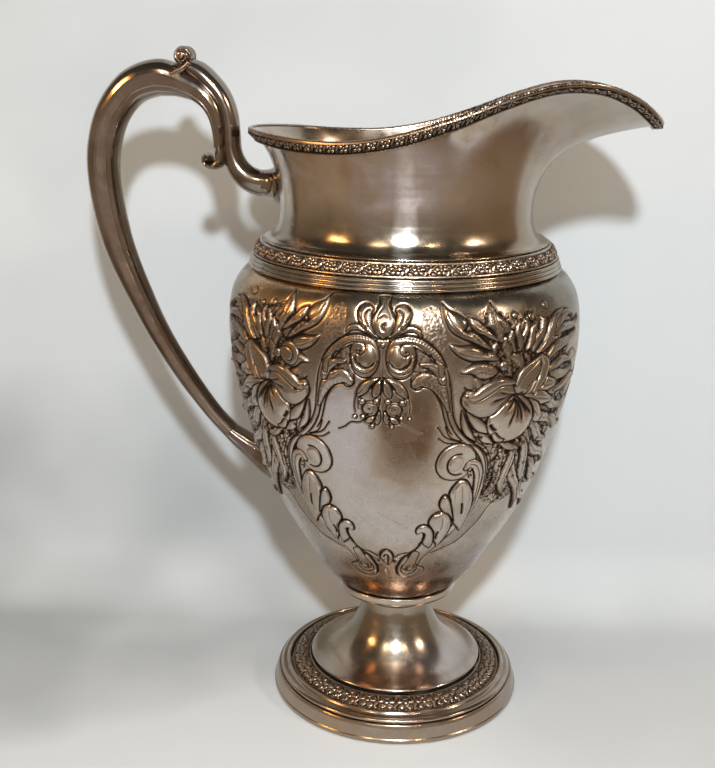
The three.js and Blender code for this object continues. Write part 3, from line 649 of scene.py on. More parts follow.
def blossom(s):
    """Large open flower with broad, fluted petals and a pointed bud over it."""
    s.emboss([(48, 150), (54, 151.5), (61, 151)], [1.5, 3.9, 2], lift=0.4, rise=1.1, vein=0.25)
    s.emboss([(48, 148.5), (55, 146.5), (60.5, 144.5)], [1.2, 3.1, 1.6], lift=0.4, rise=1.1, vein=0.25)
    s.emboss([(47, 147.5), (52.5, 142.5), (56, 138.5)], [1.2, 3.4, 2.6], lift=0.45, rise=1.1, vein=0.25)
    s.plate([(45, 149.6), (41, 148), (37, 145.4), (34.6, 141.6), (34.8, 137.4), (37, 133.6), (40.4, 131.2),
             (44.8, 130.4), (49.6, 131.6), (52.8, 135), (53.6, 139.6), (51.8, 144), (48.6, 147.8)], 6,
            lift=0.4, rise=1.3, crown=0.8, groove=0.5)
    for tip in [(40.6, 144.2), (45.4, 141.4), (49.6, 143), (38.4, 149.4)]:
        s.line([(45, 149.4), (0.5 * tip[0] + 22.6, 0.5 * tip[1] + 74.6), tip], 3.4, 0.22, 0.5,
               ends=(0.6, 5))
    for tip, cut in [((39.6, 143.2), 0.5), ((45.4, 138.4), 0.42), ((50, 140.4), 0.36), ((52.6, 139.4), 0.3),
                     ((47.8, 137.6), 0.4), ((39, 147), 0.34), ((42, 136.5), 0.34)]:
        s.line([(45, 148.6), (0.5 * tip[0] + 22.6, 0.45 * tip[1] + 81.4), tip], 0.85, 1.25 * cut, 0.95,
               ends=(0.3, 4))
    s.line([(35.4, 139.8), (36.5, 137.9), (37.8, 136.7)], 0.8, 0.6, ends=(0.4, 0.4))
    s.emboss([(37.6, 135), (39.4, 132.6), (41.6, 131.8)], [1, 1.3, 0.8], lift=0.4, rise=0.5)
    s.plate([(45, 150.6), (42.4, 154.6), (37.8, 156.8), (32.8, 156.2), (29, 153.8), (26.2, 153.8),
             (24.8, 151), (25.4, 148), (28, 144.8), (31.8, 142.6), (35.8, 143.2), (38.8, 146), (42, 149)],
            5.5, lift=0.4, rise=1.3, crown=0.8, groove=0.5)
    s.emboss([(42, 155.4), (37, 156.2), (32.4, 153.8), (28.6, 151.4), (26.2, 152.2)],
             [0.8, 1.6, 2.1, 1.7, 0.9], lift=1.2, rise=0.5, crown=0.8, groove=0.28, tone=0.6)
    for tip, cut in [((33, 148.6), 0.3), ((35, 153.2), 0.26), ((36, 145), 0.22)]:
        s.line([(43.4, 150), (0.5 * tip[0] + 21.4, 0.4 * tip[1] + 90.4), tip], 0.8, 1.3 * cut, 0.85,
               ends=(0.3, 4))
    s.line([(25.4, 155.6), (26, 154.6), (28, 153.8), (29.6, 154.2)], 0.36, 0.36)
    s.hole((26.4, 152), 0.6)
    s.emboss([(52.4, 163.8), (55.2, 160.4), (54.8, 155.4), (51.2, 150)], [0.8, 2.3, 2.5, 1.1], lift=0.5,
             rise=1.0, crown=0.7, groove=0.4)
    s.plate([(52.3, 164.2), (48.6, 162.2), (45.2, 159.8), (42.6, 156.6), (42.2, 153), (44.6, 149.6),
             (47.4, 150), (50.2, 153.2), (51.8, 157), (52.6, 160.8)], 3.6, lift=0.6, rise=1.35, crown=0.75,
            groove=0.55)
    s.emboss([(42.8, 154.6), (44.4, 158.4), (47.6, 161), (52, 163.8)], [0.7, 1.3, 1.2, 0.4], lift=1.5,
             rise=0.45, crown=0.8, groove=0.3)
    s.line([(51.4, 161), (49.8, 156.4), (46.2, 151.6)], 0.5, 0.42, 0.85)
    s.ball((38, 162.2), 1.9, lift=0.5, rise=0.5, vein=0.3)
    s.hole((45.2, 150.3), 1.5, 0.75)


def near_leaves(s):
    """Leaves between the scroll frame and the blossom, and the punched berries under it."""
    s.leaf([(36, 136), (32.6, 138.6), (29.6, 142), (26.6, 146.4)], 2.1, vein=0)
    s.leaf([(37.6, 131.4), (34.6, 133.6), (32, 136.4)], 1.8, vein=0)
    s.leaf([(31, 133.6), (28.4, 136.8), (26.6, 140.8), (25.4, 146)], 1.5, vein=0)
    for spot in [(28.6, 139.6), (33, 134.6), (37, 137.8)]:
        s.hole(spot, 0.75, 0.5)
    s.line([(25.8, 148.6), (27, 146.6), (29.6, 144.2)], 0.4, 0.38)
    for spot, size in [((42, 127), 1), ((44.4, 124.6), 0.8), ((43.4, 121), 0.9), ((41.6, 124), 0.7),
                       ((42.8, 118), 0.8), ((42.8, 114.4), 0.7), ((49, 127), 0.9), ((56.6, 182), 1.6),
                       ((42.6, 180.4), 1.3), ((48.6, 179.4), 1.1)]:
        s.ball(spot, size, lift=0.4, rise=0.5)
    for spot in [(52.4, 113.4), (52.4, 106.4), (56.2, 118.5), (40.6, 129), (49.6, 124), (43.2, 116.2),
                 (42.9, 112.8), (60, 128), (58, 155), (66, 143), (47.4, 165.8)]:
        s.hole(spot, 0.8, 0.5)


def curled(points, sway, hook):
    """A leaf's path bent into an S with a hooked tip; sway and hook are shares of its length."""
    line = resample(np.array(points, float), 0.16 * np.hypot(*np.subtract(points[-1], points[0])))
    along = tangents(line)
    share = np.linspace(0, 1, len(line))
    length = np.hypot(*np.subtract(points[-1], points[0]))
    away = sway * np.sin(2 * np.pi * share) + hook * np.maximum(share - 0.55, 0) ** 2 / 0.2
    away = away * length
    return line + away[:, None] * np.column_stack([-along[:, 1], along[:, 0]])


def undergrowth(s, random):
    """Small leaves and buds that fill the ground between the long leaves, all growing from the blossom."""
    for k in range(SMALL_LEAVES):
        angle = 2 * math.pi * (k + 0.8 * random.random()) / SMALL_LEAVES
        start, length = random.uniform(9, 22), random.uniform(7, 12)
        bend = random.uniform(-0.45, 0.45)
        spots = []
        for t in (0, 0.5, 1):
            reach, turn = start + t * length, angle + bend * t * t
            spots.append((HEART[0] + reach * math.cos(turn) * 1.12,
                          HEART[1] + reach * math.sin(turn) * 1.2))
        sideways, upright = [p[0] for p in spots], [p[1] for p in spots]
        if max(upright) < 183 and min(sideways) > 27 and min(upright) > 102:
            s.leaf(spots, random.uniform(1.5, 2.4), lift=0.15, rise=0.62, groove=0.4, edge=0.4,
                   lobes=(4.2, 0.05), curl=0.3)


def soften(s, before, reach):
    """Soften what was drawn since the copies in before were taken."""
    s.height = before[0] + blur(s.height - before[0], reach)
    s.dark = before[1] + blur(s.dark - before[1], reach)


def spray(s, random):
    """Leaves and blossom on one side of the cartouche; the leaves behind come first and are softened."""
    before = s.height.copy(), s.dark.copy()
    undergrowth(s, random)
    soften(s, before, 1.6)
    before = s.height.copy(), s.dark.copy()
    for k, (points, half) in enumerate(SPRAY_LEAVES):
        side = 1 if k % 2 else -1
        s.leaf(curled(points, 0.045 * side, 0.09 * side), half, lift=0.4, rise=0.9, crown=0.55, edge=0.4,
               groove=0.42, lobes=(5.2, 0.08), curl=0.5)
    for outline in BROAD_LEAVES:
        s.plate(outline, 2.4, lift=0.4, rise=1.05, crown=0.6, groove=0.45, edge=0.4)
    for slit, width in LEAF_SLITS:
        s.line(slit, width, 0.45)
    soften(s, before, 0.9)
    near_leaves(s)
    blossom(s)


def scratches(s):
    """Two long wear marks in the blank middle of the cartouche."""
    s.line([(-13, 105), (-10, 100.5), (-6, 96)], 0.35, 0.07, 0.24)
    s.line([(-2, 102), (7, 96.5), (16, 91.5)], 0.4, 0.07, 0.24)


def far_rosette(s):
    """Curled leaf that only the handle side's spray has, beside its blossom."""
    s.ball((-28.6, 164.6), 4.6, lift=0.5, rise=0.6, groove=0.45)
    s.line([(-32.6, 166), (-29.6, 167), (-27, 165), (-28, 161.8), (-30.4, 162)], 0.36, 0.36)
    s.hole((-26.6, 151.4), 0.9)


def chased_relief():
    """Sheet with all the ornament of the body's front half."""
    s = body_sheet()
    random = np.random.default_rng(SEED)
    grain = np.clip(1.6 * blur(random.random(s.height.shape), 0.75) / 0.5 - 1.1, 0, 1)
    mirror = lambda p: (2 * CARTOUCHE_TURN - p[0], p[1])
    spout_side = lambda p: p
    handle_spray = lambda p: (HANDLE_SPRAY - 0.87 * (p[0] - SPOUT_SPRAY), p[1] + 1.5)
    for side, flowers in ((spout_side, spout_side), (mirror, handle_spray)):
        s.move = side
        stippled_ground(s, grain)
        s.move = flowers
        spray(s, random)
        s.move = side
        for ornament in (scroll_frame, inner_acanthus, lower_volute, falling_leaves, bottom_volutes,
                         upper_volute, top_palmette, pendant_side):
            ornament(s)
    s.move = spout_side
    middle_ornament(s)
    tendrils(s)
    far_rosette(s)
    scratches(s)
    away = np.abs(s.across - CARTOUCHE_TURN * DEGREE)
    s.height *= 1 - 0.55 * smoothstep(away, 64 * DEGREE, 84 * DEGREE)
    return s


# ---------------------------------------------------------------- meshes

def surface(grid, ring=False, fans=(False, False), hollow_patina_and_painted_shade=None):
    """Faces over a grid of points [row, column] that closes round its columns.

    ring joins the last row to the first, and fans close the first and the last row with a pole.
    """
    rows, columns = grid.shape[:2]
    last_row = rows if ring else rows - 1
    r, c = [i.ravel() for i in np.meshgrid(np.arange(last_row), np.arange(columns), indexing="ij")]
    corner = lambda i, j: (i % rows) * columns + j % columns
    quads = np.stack([corner(r, c), corner(r, c + 1), corner(r + 1, c + 1), corner(r + 1, c)], axis=1)
    steps = np.linalg.norm(np.diff(np.concatenate([grid, grid[:1]]), axis=0), axis=2).mean(axis=1)
    climb = np.concatenate([[0], np.cumsum(steps[:last_row])])
    climb = 0.02 + 0.96 * climb / climb[-1]
    u0, u1 = c / columns, (c + 1) / columns
    v0, v1 = climb[r], climb[r + 1]
    uvs = np.stack([np.stack(uv, 1) for uv in ((u0, v0), (u1, v0), (u1, v1), (u0, v1))], axis=1)
    points = grid.reshape(-1, 3)
    values = np.zeros(len(points)) if hollow_patina_and_painted_shade is None else np.asarray(hollow_patina_and_painted_shade, float).ravel()
    triangles, triangle_uvs = np.zeros((0, 3), int), np.zeros((0, 3, 2))
    for end, (closed, row, v, pole_v) in enumerate(zip(fans, (0, rows - 1), (0.02, 0.98), (0, 1))):
        if not closed:
            continue
        c = np.arange(columns)
        pole = np.full(columns, len(points))
        points = np.vstack([points, grid[row].mean(axis=0)])
        values = np.append(values, values.reshape(-1)[row * columns])
        a, b = corner(row, c), corner(row, c + 1)
        if end == 0:
            a, b = b, a
        ua, ub = (c + 1 - end) / columns, (c + end) / columns
        triangles = np.vstack([triangles, np.stack([a, b, pole], 1)])
        corner_uvs = np.stack([np.stack([ua, 0 * c + v], 1), np.stack([ub, 0 * c + v], 1),
                               np.stack([(c + 0.5) / columns, 0 * c + pole_v], 1)], axis=1)
        triangle_uvs = np.concatenate([triangle_uvs, corner_uvs])
    if inside_out(points, quads, triangles):
        quads, uvs = quads[:, ::-1], uvs[:, ::-1]
        triangles, triangle_uvs = triangles[:, ::-1], triangle_uvs[:, ::-1]
    return points, values, quads, uvs, triangles, triangle_uvs


def inside_out(points, quads, triangles):
    """Whether the faces point inwards, from the sign of the volume they enclose."""
    pieces = np.vstack([quads[:, [0, 1, 2]], quads[:, [0, 2, 3]], triangles])
    a, b, c = (points[pieces[:, k]] for k in range(3))
    return np.einsum("ij,ij->i", a, np.cross(b, c)).sum() < 0


def placed(name, data):
    """New object in the scene that shows a mesh, lamp or camera."""
    thing = bpy.data.objects.new(name, data)
    bpy.context.scene.collection.objects.link(thing)
    return thing


def piece(name, surfaces, nodes, finish):
    """One object from several surfaces in mm about the body's axis, which stands for the CAD nodes.

    finish holds a slot name, which is not used, and its material.
    """
    slot, material = finish
    mesh = bpy.data.meshes.new(name)
    points, values, corners, sizes, uvs, base = [], [], [], [], [], 0
    for k, (p, value, quads, quad_uvs, triangles, triangle_uvs) in enumerate(surfaces):
        lane = lambda uv: (uv.reshape(-1, 2) * (1, 0.96) + (0, k + 0.02)) / (1, len(surfaces))
        points.append(p)
        values.append(value)
        corners += [(quads + base).ravel(), (triangles + base).ravel()]
        sizes += [np.full(len(quads), 4), np.full(len(triangles), 3)]
        uvs += [lane(quad_uvs), lane(triangle_uvs)]
        base += len(p)
    points, corners, sizes = np.vstack(points), np.concatenate(corners), np.concatenate(sizes)
    mesh.vertices.add(len(points))
    mesh.vertices.foreach_set("co", ((points + (AXIS_X, 0, 0)) * MM).astype(np.float32).ravel())
    mesh.loops.add(len(corners))
    mesh.loops.foreach_set("vertex_index", corners.astype(np.int32))
    mesh.polygons.add(len(sizes))
    mesh.polygons.foreach_set("loop_start", (np.cumsum(sizes) - sizes).astype(np.int32))
    mesh.update(calc_edges=True)
    mesh.polygons.foreach_set("use_smooth", np.ones(len(sizes), bool))
    mesh.uv_layers.new(name="OFBake").data.foreach_set("uv", np.vstack(uvs).astype(np.float32).ravel())
    hollow_patina_and_painted_shade = mesh.attributes.new("hollow_patina_and_painted_shade", "FLOAT", "POINT")
    hollow_patina_and_painted_shade.data.foreach_set("value", np.concatenate(values).astype(np.float32))
    mesh.materials.append(material)
    thing = placed(name, mesh)
    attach(thing, "root")
    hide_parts(*nodes)


def round_corners(points, radius, closed=True):
    """Polygon whose corners are small arcs, at steps fine enough for smooth shading."""
    p = np.array(points, float)
    n = len(p)
    radii = np.broadcast_to(np.array(radius, float), n)
    line = []
    for i in range(n):
        if not closed and i in (0, n - 1):
            line.append(p[i:i + 1])
            continue
        before, after = p[i - 1] - p[i], p[(i + 1) % n] - p[i]
        reach = min(radii[i], 0.45 * np.hypot(*before), 0.45 * np.hypot(*after))
        start = p[i] + before / np.hypot(*before) * reach
        end = p[i] + after / np.hypot(*after) * reach
        t = np.linspace(0, 1, 7)[:, None]
        line.append(start * (1 - t) ** 2 + p[i] * 2 * t * (1 - t) + end * t * t)
    line = np.vstack(line + ([line[0][:1]] if closed else []))
    fine = [line[:1]]
    for a, b in zip(line[:-1], line[1:]):
        count = max(1, int(math.ceil(np.hypot(*(b - a)) / 0.45)))
        fine.append(a + (b - a) * np.linspace(0, 1, count + 1)[1:, None])
    fine = np.vstack(fine)
    return fine[:-1] if closed else fine


def rings(radius, height, around):
    """Grid of points about the body's axis, from the radius and height of each row and column."""
    return np.stack([radius * np.cos(around), radius * np.sin(around), height], axis=2)


def turn(profile):
    """Closed ring turned about the body's axis from [radius, height] points."""
    p = np.array(profile, float)
    height = np.repeat(p[:, 1:], TURNED_COLUMNS, axis=1)
    return surface(rings(p[:, :1], height, full_circle(TURNED_COLUMNS)), ring=True)


def inward(profile, thickness):
    """The other face of a sheet: each point moved squarely off the profile, towards the axis."""
    p = np.array(profile, float)
    along = tangents(p)
    return np.stack([p[:, 0] - along[:, 1] * thickness, p[:, 1] + along[:, 0] * thickness], axis=1)


# ---------------------------------------------------------------- body

def body_piece(finish):
    """Body shell: its outside carries the relief, and its inside shows it softly in reverse."""
    s = chased_relief()
    relief = np.minimum(s.height, 0)
    hollow = np.clip((blur(relief, 3.5) - relief) / 0.55, 0, 1)
    front = np.clip(s.dark * 0.95 + 0.55 * hollow, 0, 1)
    low = spline(BODY_LOW, 1.2)
    widest = np.interp(low[:, 1], [57, 60, 62], [99, 99, float(body_radius(62)[0])])
    low[:, 0] = np.minimum(low[:, 0], widest)
    radius = body_radius(s.z)
    slope = np.gradient(radius, s.z)
    outward = np.stack([np.ones_like(slope), -slope], axis=1) / np.hypot(1, slope)[:, None]
    columns = BODY_COLUMNS
    turn_angle = full_circle(columns) - math.pi / 2
    mirrored = np.arange(columns)
    mirrored = np.where(mirrored <= columns // 2, mirrored, columns - mirrored)
    height, dark = relief[:, mirrored], front[:, mirrored]
    ring = lambda r, z: np.stack([r * np.sin(turn_angle), -r * np.cos(turn_angle), z], axis=-1)
    middle = ring(radius[:, None] + height * outward[:, :1], s.z[:, None] + height * outward[:, 1:])
    top = np.array(UNDER_BANDS)
    inner_outline = np.vstack([low[1:], np.stack([radius[::6], s.z[::6]], 1), top])
    inner_relief = np.zeros((len(inner_outline), columns))
    inner_relief[len(low) - 1:len(low) - 1 + len(radius[::6])] = blur(relief, 2.5)[::6][:, mirrored]
    inner = inward(inner_outline, WALL)
    inner_rows = ring(inner[:, :1] + inner_relief, np.repeat(inner[:, 1:], columns, axis=1))[::-1]
    flat = lambda p: ring(np.repeat(p[:, :1], columns, axis=1), np.repeat(p[:, 1:], columns, axis=1))
    grid = np.concatenate([flat(low[1:-1]), middle, flat(top), inner_rows])
    hollow_patina_and_painted_shade = np.zeros(grid.shape[:2])
    start = len(low) - 2
    hollow_patina_and_painted_shade[start:start + len(middle)] = dark
    grid[0, :, 2] = BODY_LOW[0][1]
    piece("chased_body", [surface(grid, fans=(True, True), hollow_patina_and_painted_shade=hollow_patina_and_painted_shade)], ["body_shell"], finish)


# ---------------------------------------------------------------- borders

def ribbon_sheet(length, depth, repeats, cell):
    """Flat strip of border, one repeat long, that is then copied round the piece."""
    columns = int(round(length / repeats / cell))
    rows = int(round(depth / cell)) + 1
    pitch = length / repeats
    across = (np.arange(3 * columns) - columns) * (pitch / columns)
    up = np.linspace(0, depth, rows)
    return Sheet(across, up, np.ones(rows), lambda p: p), columns


def floral_border(s, pitch, depth, widest):
    """Die-rolled border: a five-petalled flower and slanted leaves between two plain edges."""
    s.ground[:] = -0.75
    s.height[:] = s.ground
    s.dark[:] = 0.62
    edge = min(widest, 0.12 * depth)
    mid = 0.5 * depth
    room = 0.5 * depth - edge
    for shift in (-pitch, 0, pitch):
        s.move = lambda p: (p[0] + shift, p[1])
        for lean in (-1, 1):
            side = pitch * 0.5 + lean * 0.21 * pitch
            along, across = lean * pitch, lean * room
            s.leaf([(side - 0.1 * along, mid - 0.2 * across), (side + 0.02 * pitch, mid + 0.45 * across),
                    (side + 0.18 * along, mid + 0.95 * across)],
                   0.34 * room, lift=0.2, rise=0.5, groove=0.3, edge=0.22)
            s.leaf([(side - 0.05 * along, mid), (side + 0.12 * along, mid - 0.5 * across),
                    (side + 0.1 * along, mid - 0.95 * across)],
                   0.3 * room, lift=0.2, rise=0.45, groove=0.3, edge=0.22)
            s.ball((side - 0.16 * along, mid + 0.72 * across), 0.22 * room, lift=0.2, rise=0.4,
                   groove=0.25)
        s.leaf([(0.42 * pitch, mid - 0.6 * room), (0.5 * pitch, mid), (0.58 * pitch, mid + 0.6 * room)],
               0.3 * room, lift=0.3, rise=0.45, groove=0.3, edge=0.22)
        for k in range(5):
            angle = math.pi / 2 + k * 2 * math.pi / 5
            x, y = 0.52 * room * math.cos(angle), 0.52 * room * math.sin(angle)
            s.emboss([(0.45 * x, mid + 0.45 * y), (1.1 * x, mid + 1.1 * y)], [0.22 * room, 0.34 * room],
                     lift=0.3, rise=0.45, groove=0.3, edge=0.2)
        s.ball((0, mid), 0.24 * room, lift=0.55, rise=0.3, groove=0.3, edge=0.2)
    for row in (0, depth):
        near = np.abs(s.up - row)[:, None]
        plain = smoothstep(edge - near, 0, 0.12)
        s.height += (-0.12 - s.height) * plain
        s.dark *= 1 - plain
        cut = np.exp(-((near - edge - 0.1) / 0.16) ** 2)
        s.height -= 0.25 * cut
        s.dark = np.maximum(s.dark, 0.95 * cut)
    return s


def border_relief(length, depth, repeats, cell, widest=0.55):
    """Height and darkness of a whole border, with its last repeat meeting its first."""
    s, columns = ribbon_sheet(length, depth, repeats, cell)
    floral_border(s, length / repeats, depth, widest)
    one = slice(columns, 2 * columns)
    hollow = np.clip((blur(s.height, 3) - s.height) / 0.4, 0, 1)
    dark = np.clip(s.dark + 0.5 * hollow, 0, 1)
    return np.tile(s.height[:, one], (1, repeats)), np.tile(dark[:, one], (1, repeats))


def turned_border(name, node, face, back, repeats, cell, finish):
    """Turned ring with floral relief on its outer face."""
    face, back = spline(face, 0.1), np.array(back, float)
    length = 2 * math.pi * face[:, 0].mean()
    run = lengths(face)
    relief, dark = border_relief(length, run[-1], repeats, cell)
    rows, columns = relief.shape
    places = np.linspace(0, run[-1], rows)
    line = np.stack([np.interp(places, run, face[:, 0]), np.interp(places, run, face[:, 1])], axis=1)
    along = tangents(line)
    r = line[:, :1] + relief * along[:, 1:]
    z = line[:, 1:] - relief * along[:, :1]
    back = resample(np.vstack([line[-1:], back, line[:1]]), 0.5)[1:-1]
    r = np.vstack([r, np.repeat(back[:, :1], columns, axis=1)])
    z = np.vstack([z, np.repeat(back[:, 1:], columns, axis=1)])
    hollow_patina_and_painted_shade = np.vstack([dark, np.zeros((len(back), columns))])
    piece(name, [surface(rings(r, z, full_circle(columns)), ring=True, hollow_patina_and_painted_shade=hollow_patina_and_painted_shade)], [node], finish)


# ---------------------------------------------------------------- neck and lip

def lip_table(degrees, column):
    """Lip edge at angles from the spout, in degrees from 0 to 180."""
    table = np.array(LIP_EDGE, float)
    whole = np.vstack([table[1:2] * (-1, 1, 1), table, [[360 - table[-2, 0], table[-2, 1], table[-2, 2]]]])
    slopes = np.zeros(len(whole))
    slopes[1:-1] = (whole[2:, column] - whole[:-2, column]) / (whole[2:, 0] - whole[:-2, 0])
    return cubic(degrees, whole[:, 0], whole[:, column], slopes)


def lip_controls(around):
    """Four control points [radius, height] of the lip's upright curve at each angle in radians."""
    degrees = np.degrees(np.abs((around + math.pi) % (2 * math.pi) - math.pi))
    edge, height = lip_table(degrees, 1), lip_table(degrees, 2)
    overhang = edge - NECK_RADIUS
    reach = 0.57 * overhang
    climb = 8 / (1 + np.abs(overhang) / 45)
    inner = edge - (BORDER_THICK + GAP) * climb / np.hypot(reach, climb)
    upright = 0.44 + 0.28 * overhang / 46
    fixed = np.full_like(edge, NECK_RADIUS)
    return np.stack([np.stack([fixed, np.full_like(edge, NECK_WAIST)], 1),
                     np.stack([fixed, NECK_WAIST + upright * (height - NECK_WAIST)], 1),
                     np.stack([inner - reach, height - climb], 1), np.stack([inner, height], 1)])


def lip_point(controls, t):
    """Points and unit tangents at share t of the lip's curve, t given for each angle."""
    a, b, c, d = controls
    t = np.broadcast_to(t, len(a))[:, None]
    point = a * (1 - t) ** 3 + 3 * b * t * (1 - t) ** 2 + 3 * c * t * t * (1 - t) + d * t ** 3
    along = 3 * ((b - a) * (1 - t) ** 2 + 2 * (c - b) * t * (1 - t) + (d - c) * t * t)
    return point, along / np.hypot(along[:, 0], along[:, 1])[:, None]


def upright_rows(sections, around):
    """Grid from rows of [radius, height] points, one for each angle."""
    return rings(np.stack([s[:, 0] for s in sections]), np.stack([s[:, 1] for s in sections]), around)


def neck_piece(finish):
    """Neck and lip: a sheet of even thickness with a rounded edge."""
    around = full_circle(NECK_COLUMNS)
    controls = lip_controls(around)
    foot = spline(NECK_FOOT, 0.5)
    one = np.ones((len(around), 1))
    lower = [p * one for p in foot[:-1]]
    foot_inner = inward(foot, WALL)
    foot_inner[:3, 1] = np.maximum(foot_inner[:3, 1], NECK_FOOT[0][1])
    steps = np.linspace(0, 1, 60)
    outside, inside = [], []
    for t in steps:
        point, along = lip_point(controls, t)
        square = np.stack([-along[:, 1], along[:, 0]], 1)
        outside.append(point)
        inside.append(point + square * WALL)
    edge, along = lip_point(controls, 1.0)
    square = np.stack([-along[:, 1], along[:, 0]], 1)
    rim = [edge + square * WALL * (0.5 - 0.5 * math.cos(a)) + along * 0.4 * math.sin(a)
           for a in np.linspace(0, math.pi, 7)[1:-1]]
    sections = lower + outside + rim + inside[::-1] + [p * one for p in foot_inner[:-1]][::-1]
    piece("drawn_neck_and_lip", [surface(upright_rows(sections, around), ring=True)], ["neck_and_lip"],
          finish)


def lip_border_piece(finish):
    """Die-rolled border under the lip: its columns are even along the edge."""
    fine = np.linspace(0, 2 * math.pi, 2881)
    edge = lip_controls(fine)[3]
    x, y, z = edge[:, 0] * np.cos(fine), edge[:, 0] * np.sin(fine), edge[:, 1]
    run = np.concatenate([[0], np.cumsum(np.sqrt(np.diff(x) ** 2 + np.diff(y) ** 2 + np.diff(z) ** 2))])
    columns = int(round(run[-1] / LIP_REPEATS / BORDER_CELL)) * LIP_REPEATS
    around = np.interp(np.arange(columns) / columns * run[-1], run, fine)
    controls = lip_controls(around)
    speed = 3 * np.hypot(*(controls[3] - controls[2]).T)
    out = GAP + BORDER_THICK

    def at(depth, offset):
        point, along = lip_point(controls, 1 - depth / speed)
        square = np.stack([along[:, 1], -along[:, 0]], 1)
        return point + square * np.reshape(offset, (-1, 1)) * np.ones((columns, 1))

    corner = controls[3].copy()
    corner[:, 0] = np.maximum(corner[:, 0] + 0.5, at(0, out)[:, 0])
    corner[:, 1] -= 0.1
    first, last = at(0, GAP), at(0, out - 0.12)

    def over_edge(t):
        return first * (1 - t) + last * t + (corner - 0.5 * (first + last)) * 1.8 * t * (1 - t)

    def crest(offset, rise):
        return at(0, offset) + lip_point(controls, 1.0)[1] * rise

    def covered(stations, facing, heights):
        """Rows spread evenly over the stations, each lifted by its row of heights."""
        steps = np.linalg.norm(np.diff(stations, axis=0), axis=2).mean(axis=1)
        places = np.concatenate([[0], np.cumsum(steps)])
        rows = []
        for place, lifted in zip(np.linspace(0, places[-1], len(heights)), heights):
            k = min(int(np.searchsorted(places, place, side="right")) - 1, len(stations) - 2)
            share = (place - places[k]) / steps[k]
            middle = stations[k] * (1 - share) + stations[k + 1] * share
            away = facing[k] * (1 - share) + facing[k + 1] * share
            rows.append(middle + away * lifted[:, None])
        return rows

    def outward_from(stations, roots):
        facing = stations - roots
        return facing / np.linalg.norm(facing, axis=2, keepdims=True)

    depths = np.linspace(0.1, BORDER_DEPTH, 9)
    outer = np.array([over_edge(t) for t in (0.2, 0.4, 0.6, 0.8)] + [at(depth, out) for depth in depths])
    roots = np.array([at(1.2, GAP + 0.3 * BORDER_THICK)] * 4 + [at(depth, GAP) for depth in depths])
    outer_facing = outward_from(outer, roots)
    spout_side = smoothstep(np.cos(around), -0.3, 0.5)
    turned = 0.5 + LIP_TURNED * spout_side
    shares = (1, 0.75, 0.5, 0.25, 0.05)
    inner = np.array([at(turned * share, -WALL - 0.4) for share in shares]
                     + [crest(-WALL - 0.2, 0.5), crest(-0.5 * WALL, 0.85), crest(0.1, 0.75)] + [outer[0]])
    roots = np.array([at(turned * share, 0) for share in shares] + [at(1.2, -0.3 * WALL)] * 4)
    inner_facing = outward_from(inner, roots)
    depth = np.linalg.norm(np.diff(outer, axis=0), axis=2).mean(axis=1).sum()
    relief, dark = border_relief(run[-1], depth, LIP_REPEATS, BORDER_CELL, 0.2)
    relief, dark = relief[::-1] * 0.75, dark[::-1]
    turned_rows = int(LIP_TURNED / BORDER_CELL) + 3
    sections = covered(inner, inner_facing, relief[2:2 + turned_rows][::-1] * 0.6 * spout_side)[:-1]
    dark = np.clip(1.3 * dark + 0.15, 0, 1)
    hollow_patina_and_painted_shade = list(dark[3:2 + turned_rows][::-1] * (0.3 + 0.7 * spout_side))
    outside = covered(outer, outer_facing, relief)
    widest = np.max([row[:, 0] for row in outside], axis=0)
    for row in sections:
        row[:, 0] = np.minimum(row[:, 0], widest)
    sections += outside
    hollow_patina_and_painted_shade += list(dark)
    for offset in np.linspace(out - 0.3, GAP, 4):
        sections.append(at(BORDER_DEPTH, offset))
    for depth in np.linspace(BORDER_DEPTH * 0.7, 0, 4):
        sections.append(at(depth, GAP))
    sections.append(at(turned, -0.8 * WALL))
    hollow_patina_and_painted_shade += [np.zeros(columns)] * (len(sections) - len(hollow_patina_and_painted_shade))
    piece("floral_lip_border", [surface(upright_rows(sections, around), ring=True,
          hollow_patina_and_painted_shade=np.array(hollow_patina_and_painted_shade))], ["lip_border"], finish)


# ---------------------------------------------------------------- plain turned pieces

def shoulder_reeding(finish):
    """Three plain reeds under the shoulder band."""
    reeds = []
    bottom, top, count = 188.5, 193.0, 3
    reed = (top - bottom) / count
    for i in range(count):
        radius = 62.9 - 0.5 * i
        for a in np.linspace(0.08, 0.92, 13) * math.pi:
            reeds.append((radius - 0.75 + 0.75 * math.sin(a),
                          bottom + reed * (i + 0.5 - 0.5 * math.cos(a))))
    back = [(59.9, top), (60.7, 189.4), (61.3, bottom)]
    piece("shoulder_reeds", [turn(reeds + back)], ["shoulder_reeding"], finish)


def collar(finish):
    """Turned ring between the body and the foot."""
    cove = spline([(14.6, 41.3), (16.2, 43.2), (19.4, 45), (23.6, 46.2)], 0.4)
    bead = round_corners([(23.6, 46.2), (25.3, 46.6), (25.9, 48.2), (25.9, 50.2)], 0.9, closed=False)
    seat = [(24.6, 50.25), (23.6, 49.8), (18, 47.8), (12, 46.4), (12, 41.3)]
    piece("collar_under_body", [turn(np.vstack([cove, bead[1:], seat]))], ["body_collar"], finish)


def stem(finish):
    """Trumpet-shaped stem of the foot, open below."""
    skirt = spline([(37.3, 14.2), (35.4, 15.1), (30.4, 17), (24.8, 20.6), (20, 25.8), (16.8, 32), (15, 37),
                    (14.6, 41)], 0.5)
    outside = np.vstack([[(37.3, 13.4)], skirt])
    inside = inward(outside, WALL)
    inside[0], inside[1] = (35.9, 13.4), (35.9, 13.6)
    piece("trumpet_stem", [turn(np.vstack([outside, inside[::-1]]))], ["foot_stem"], finish)


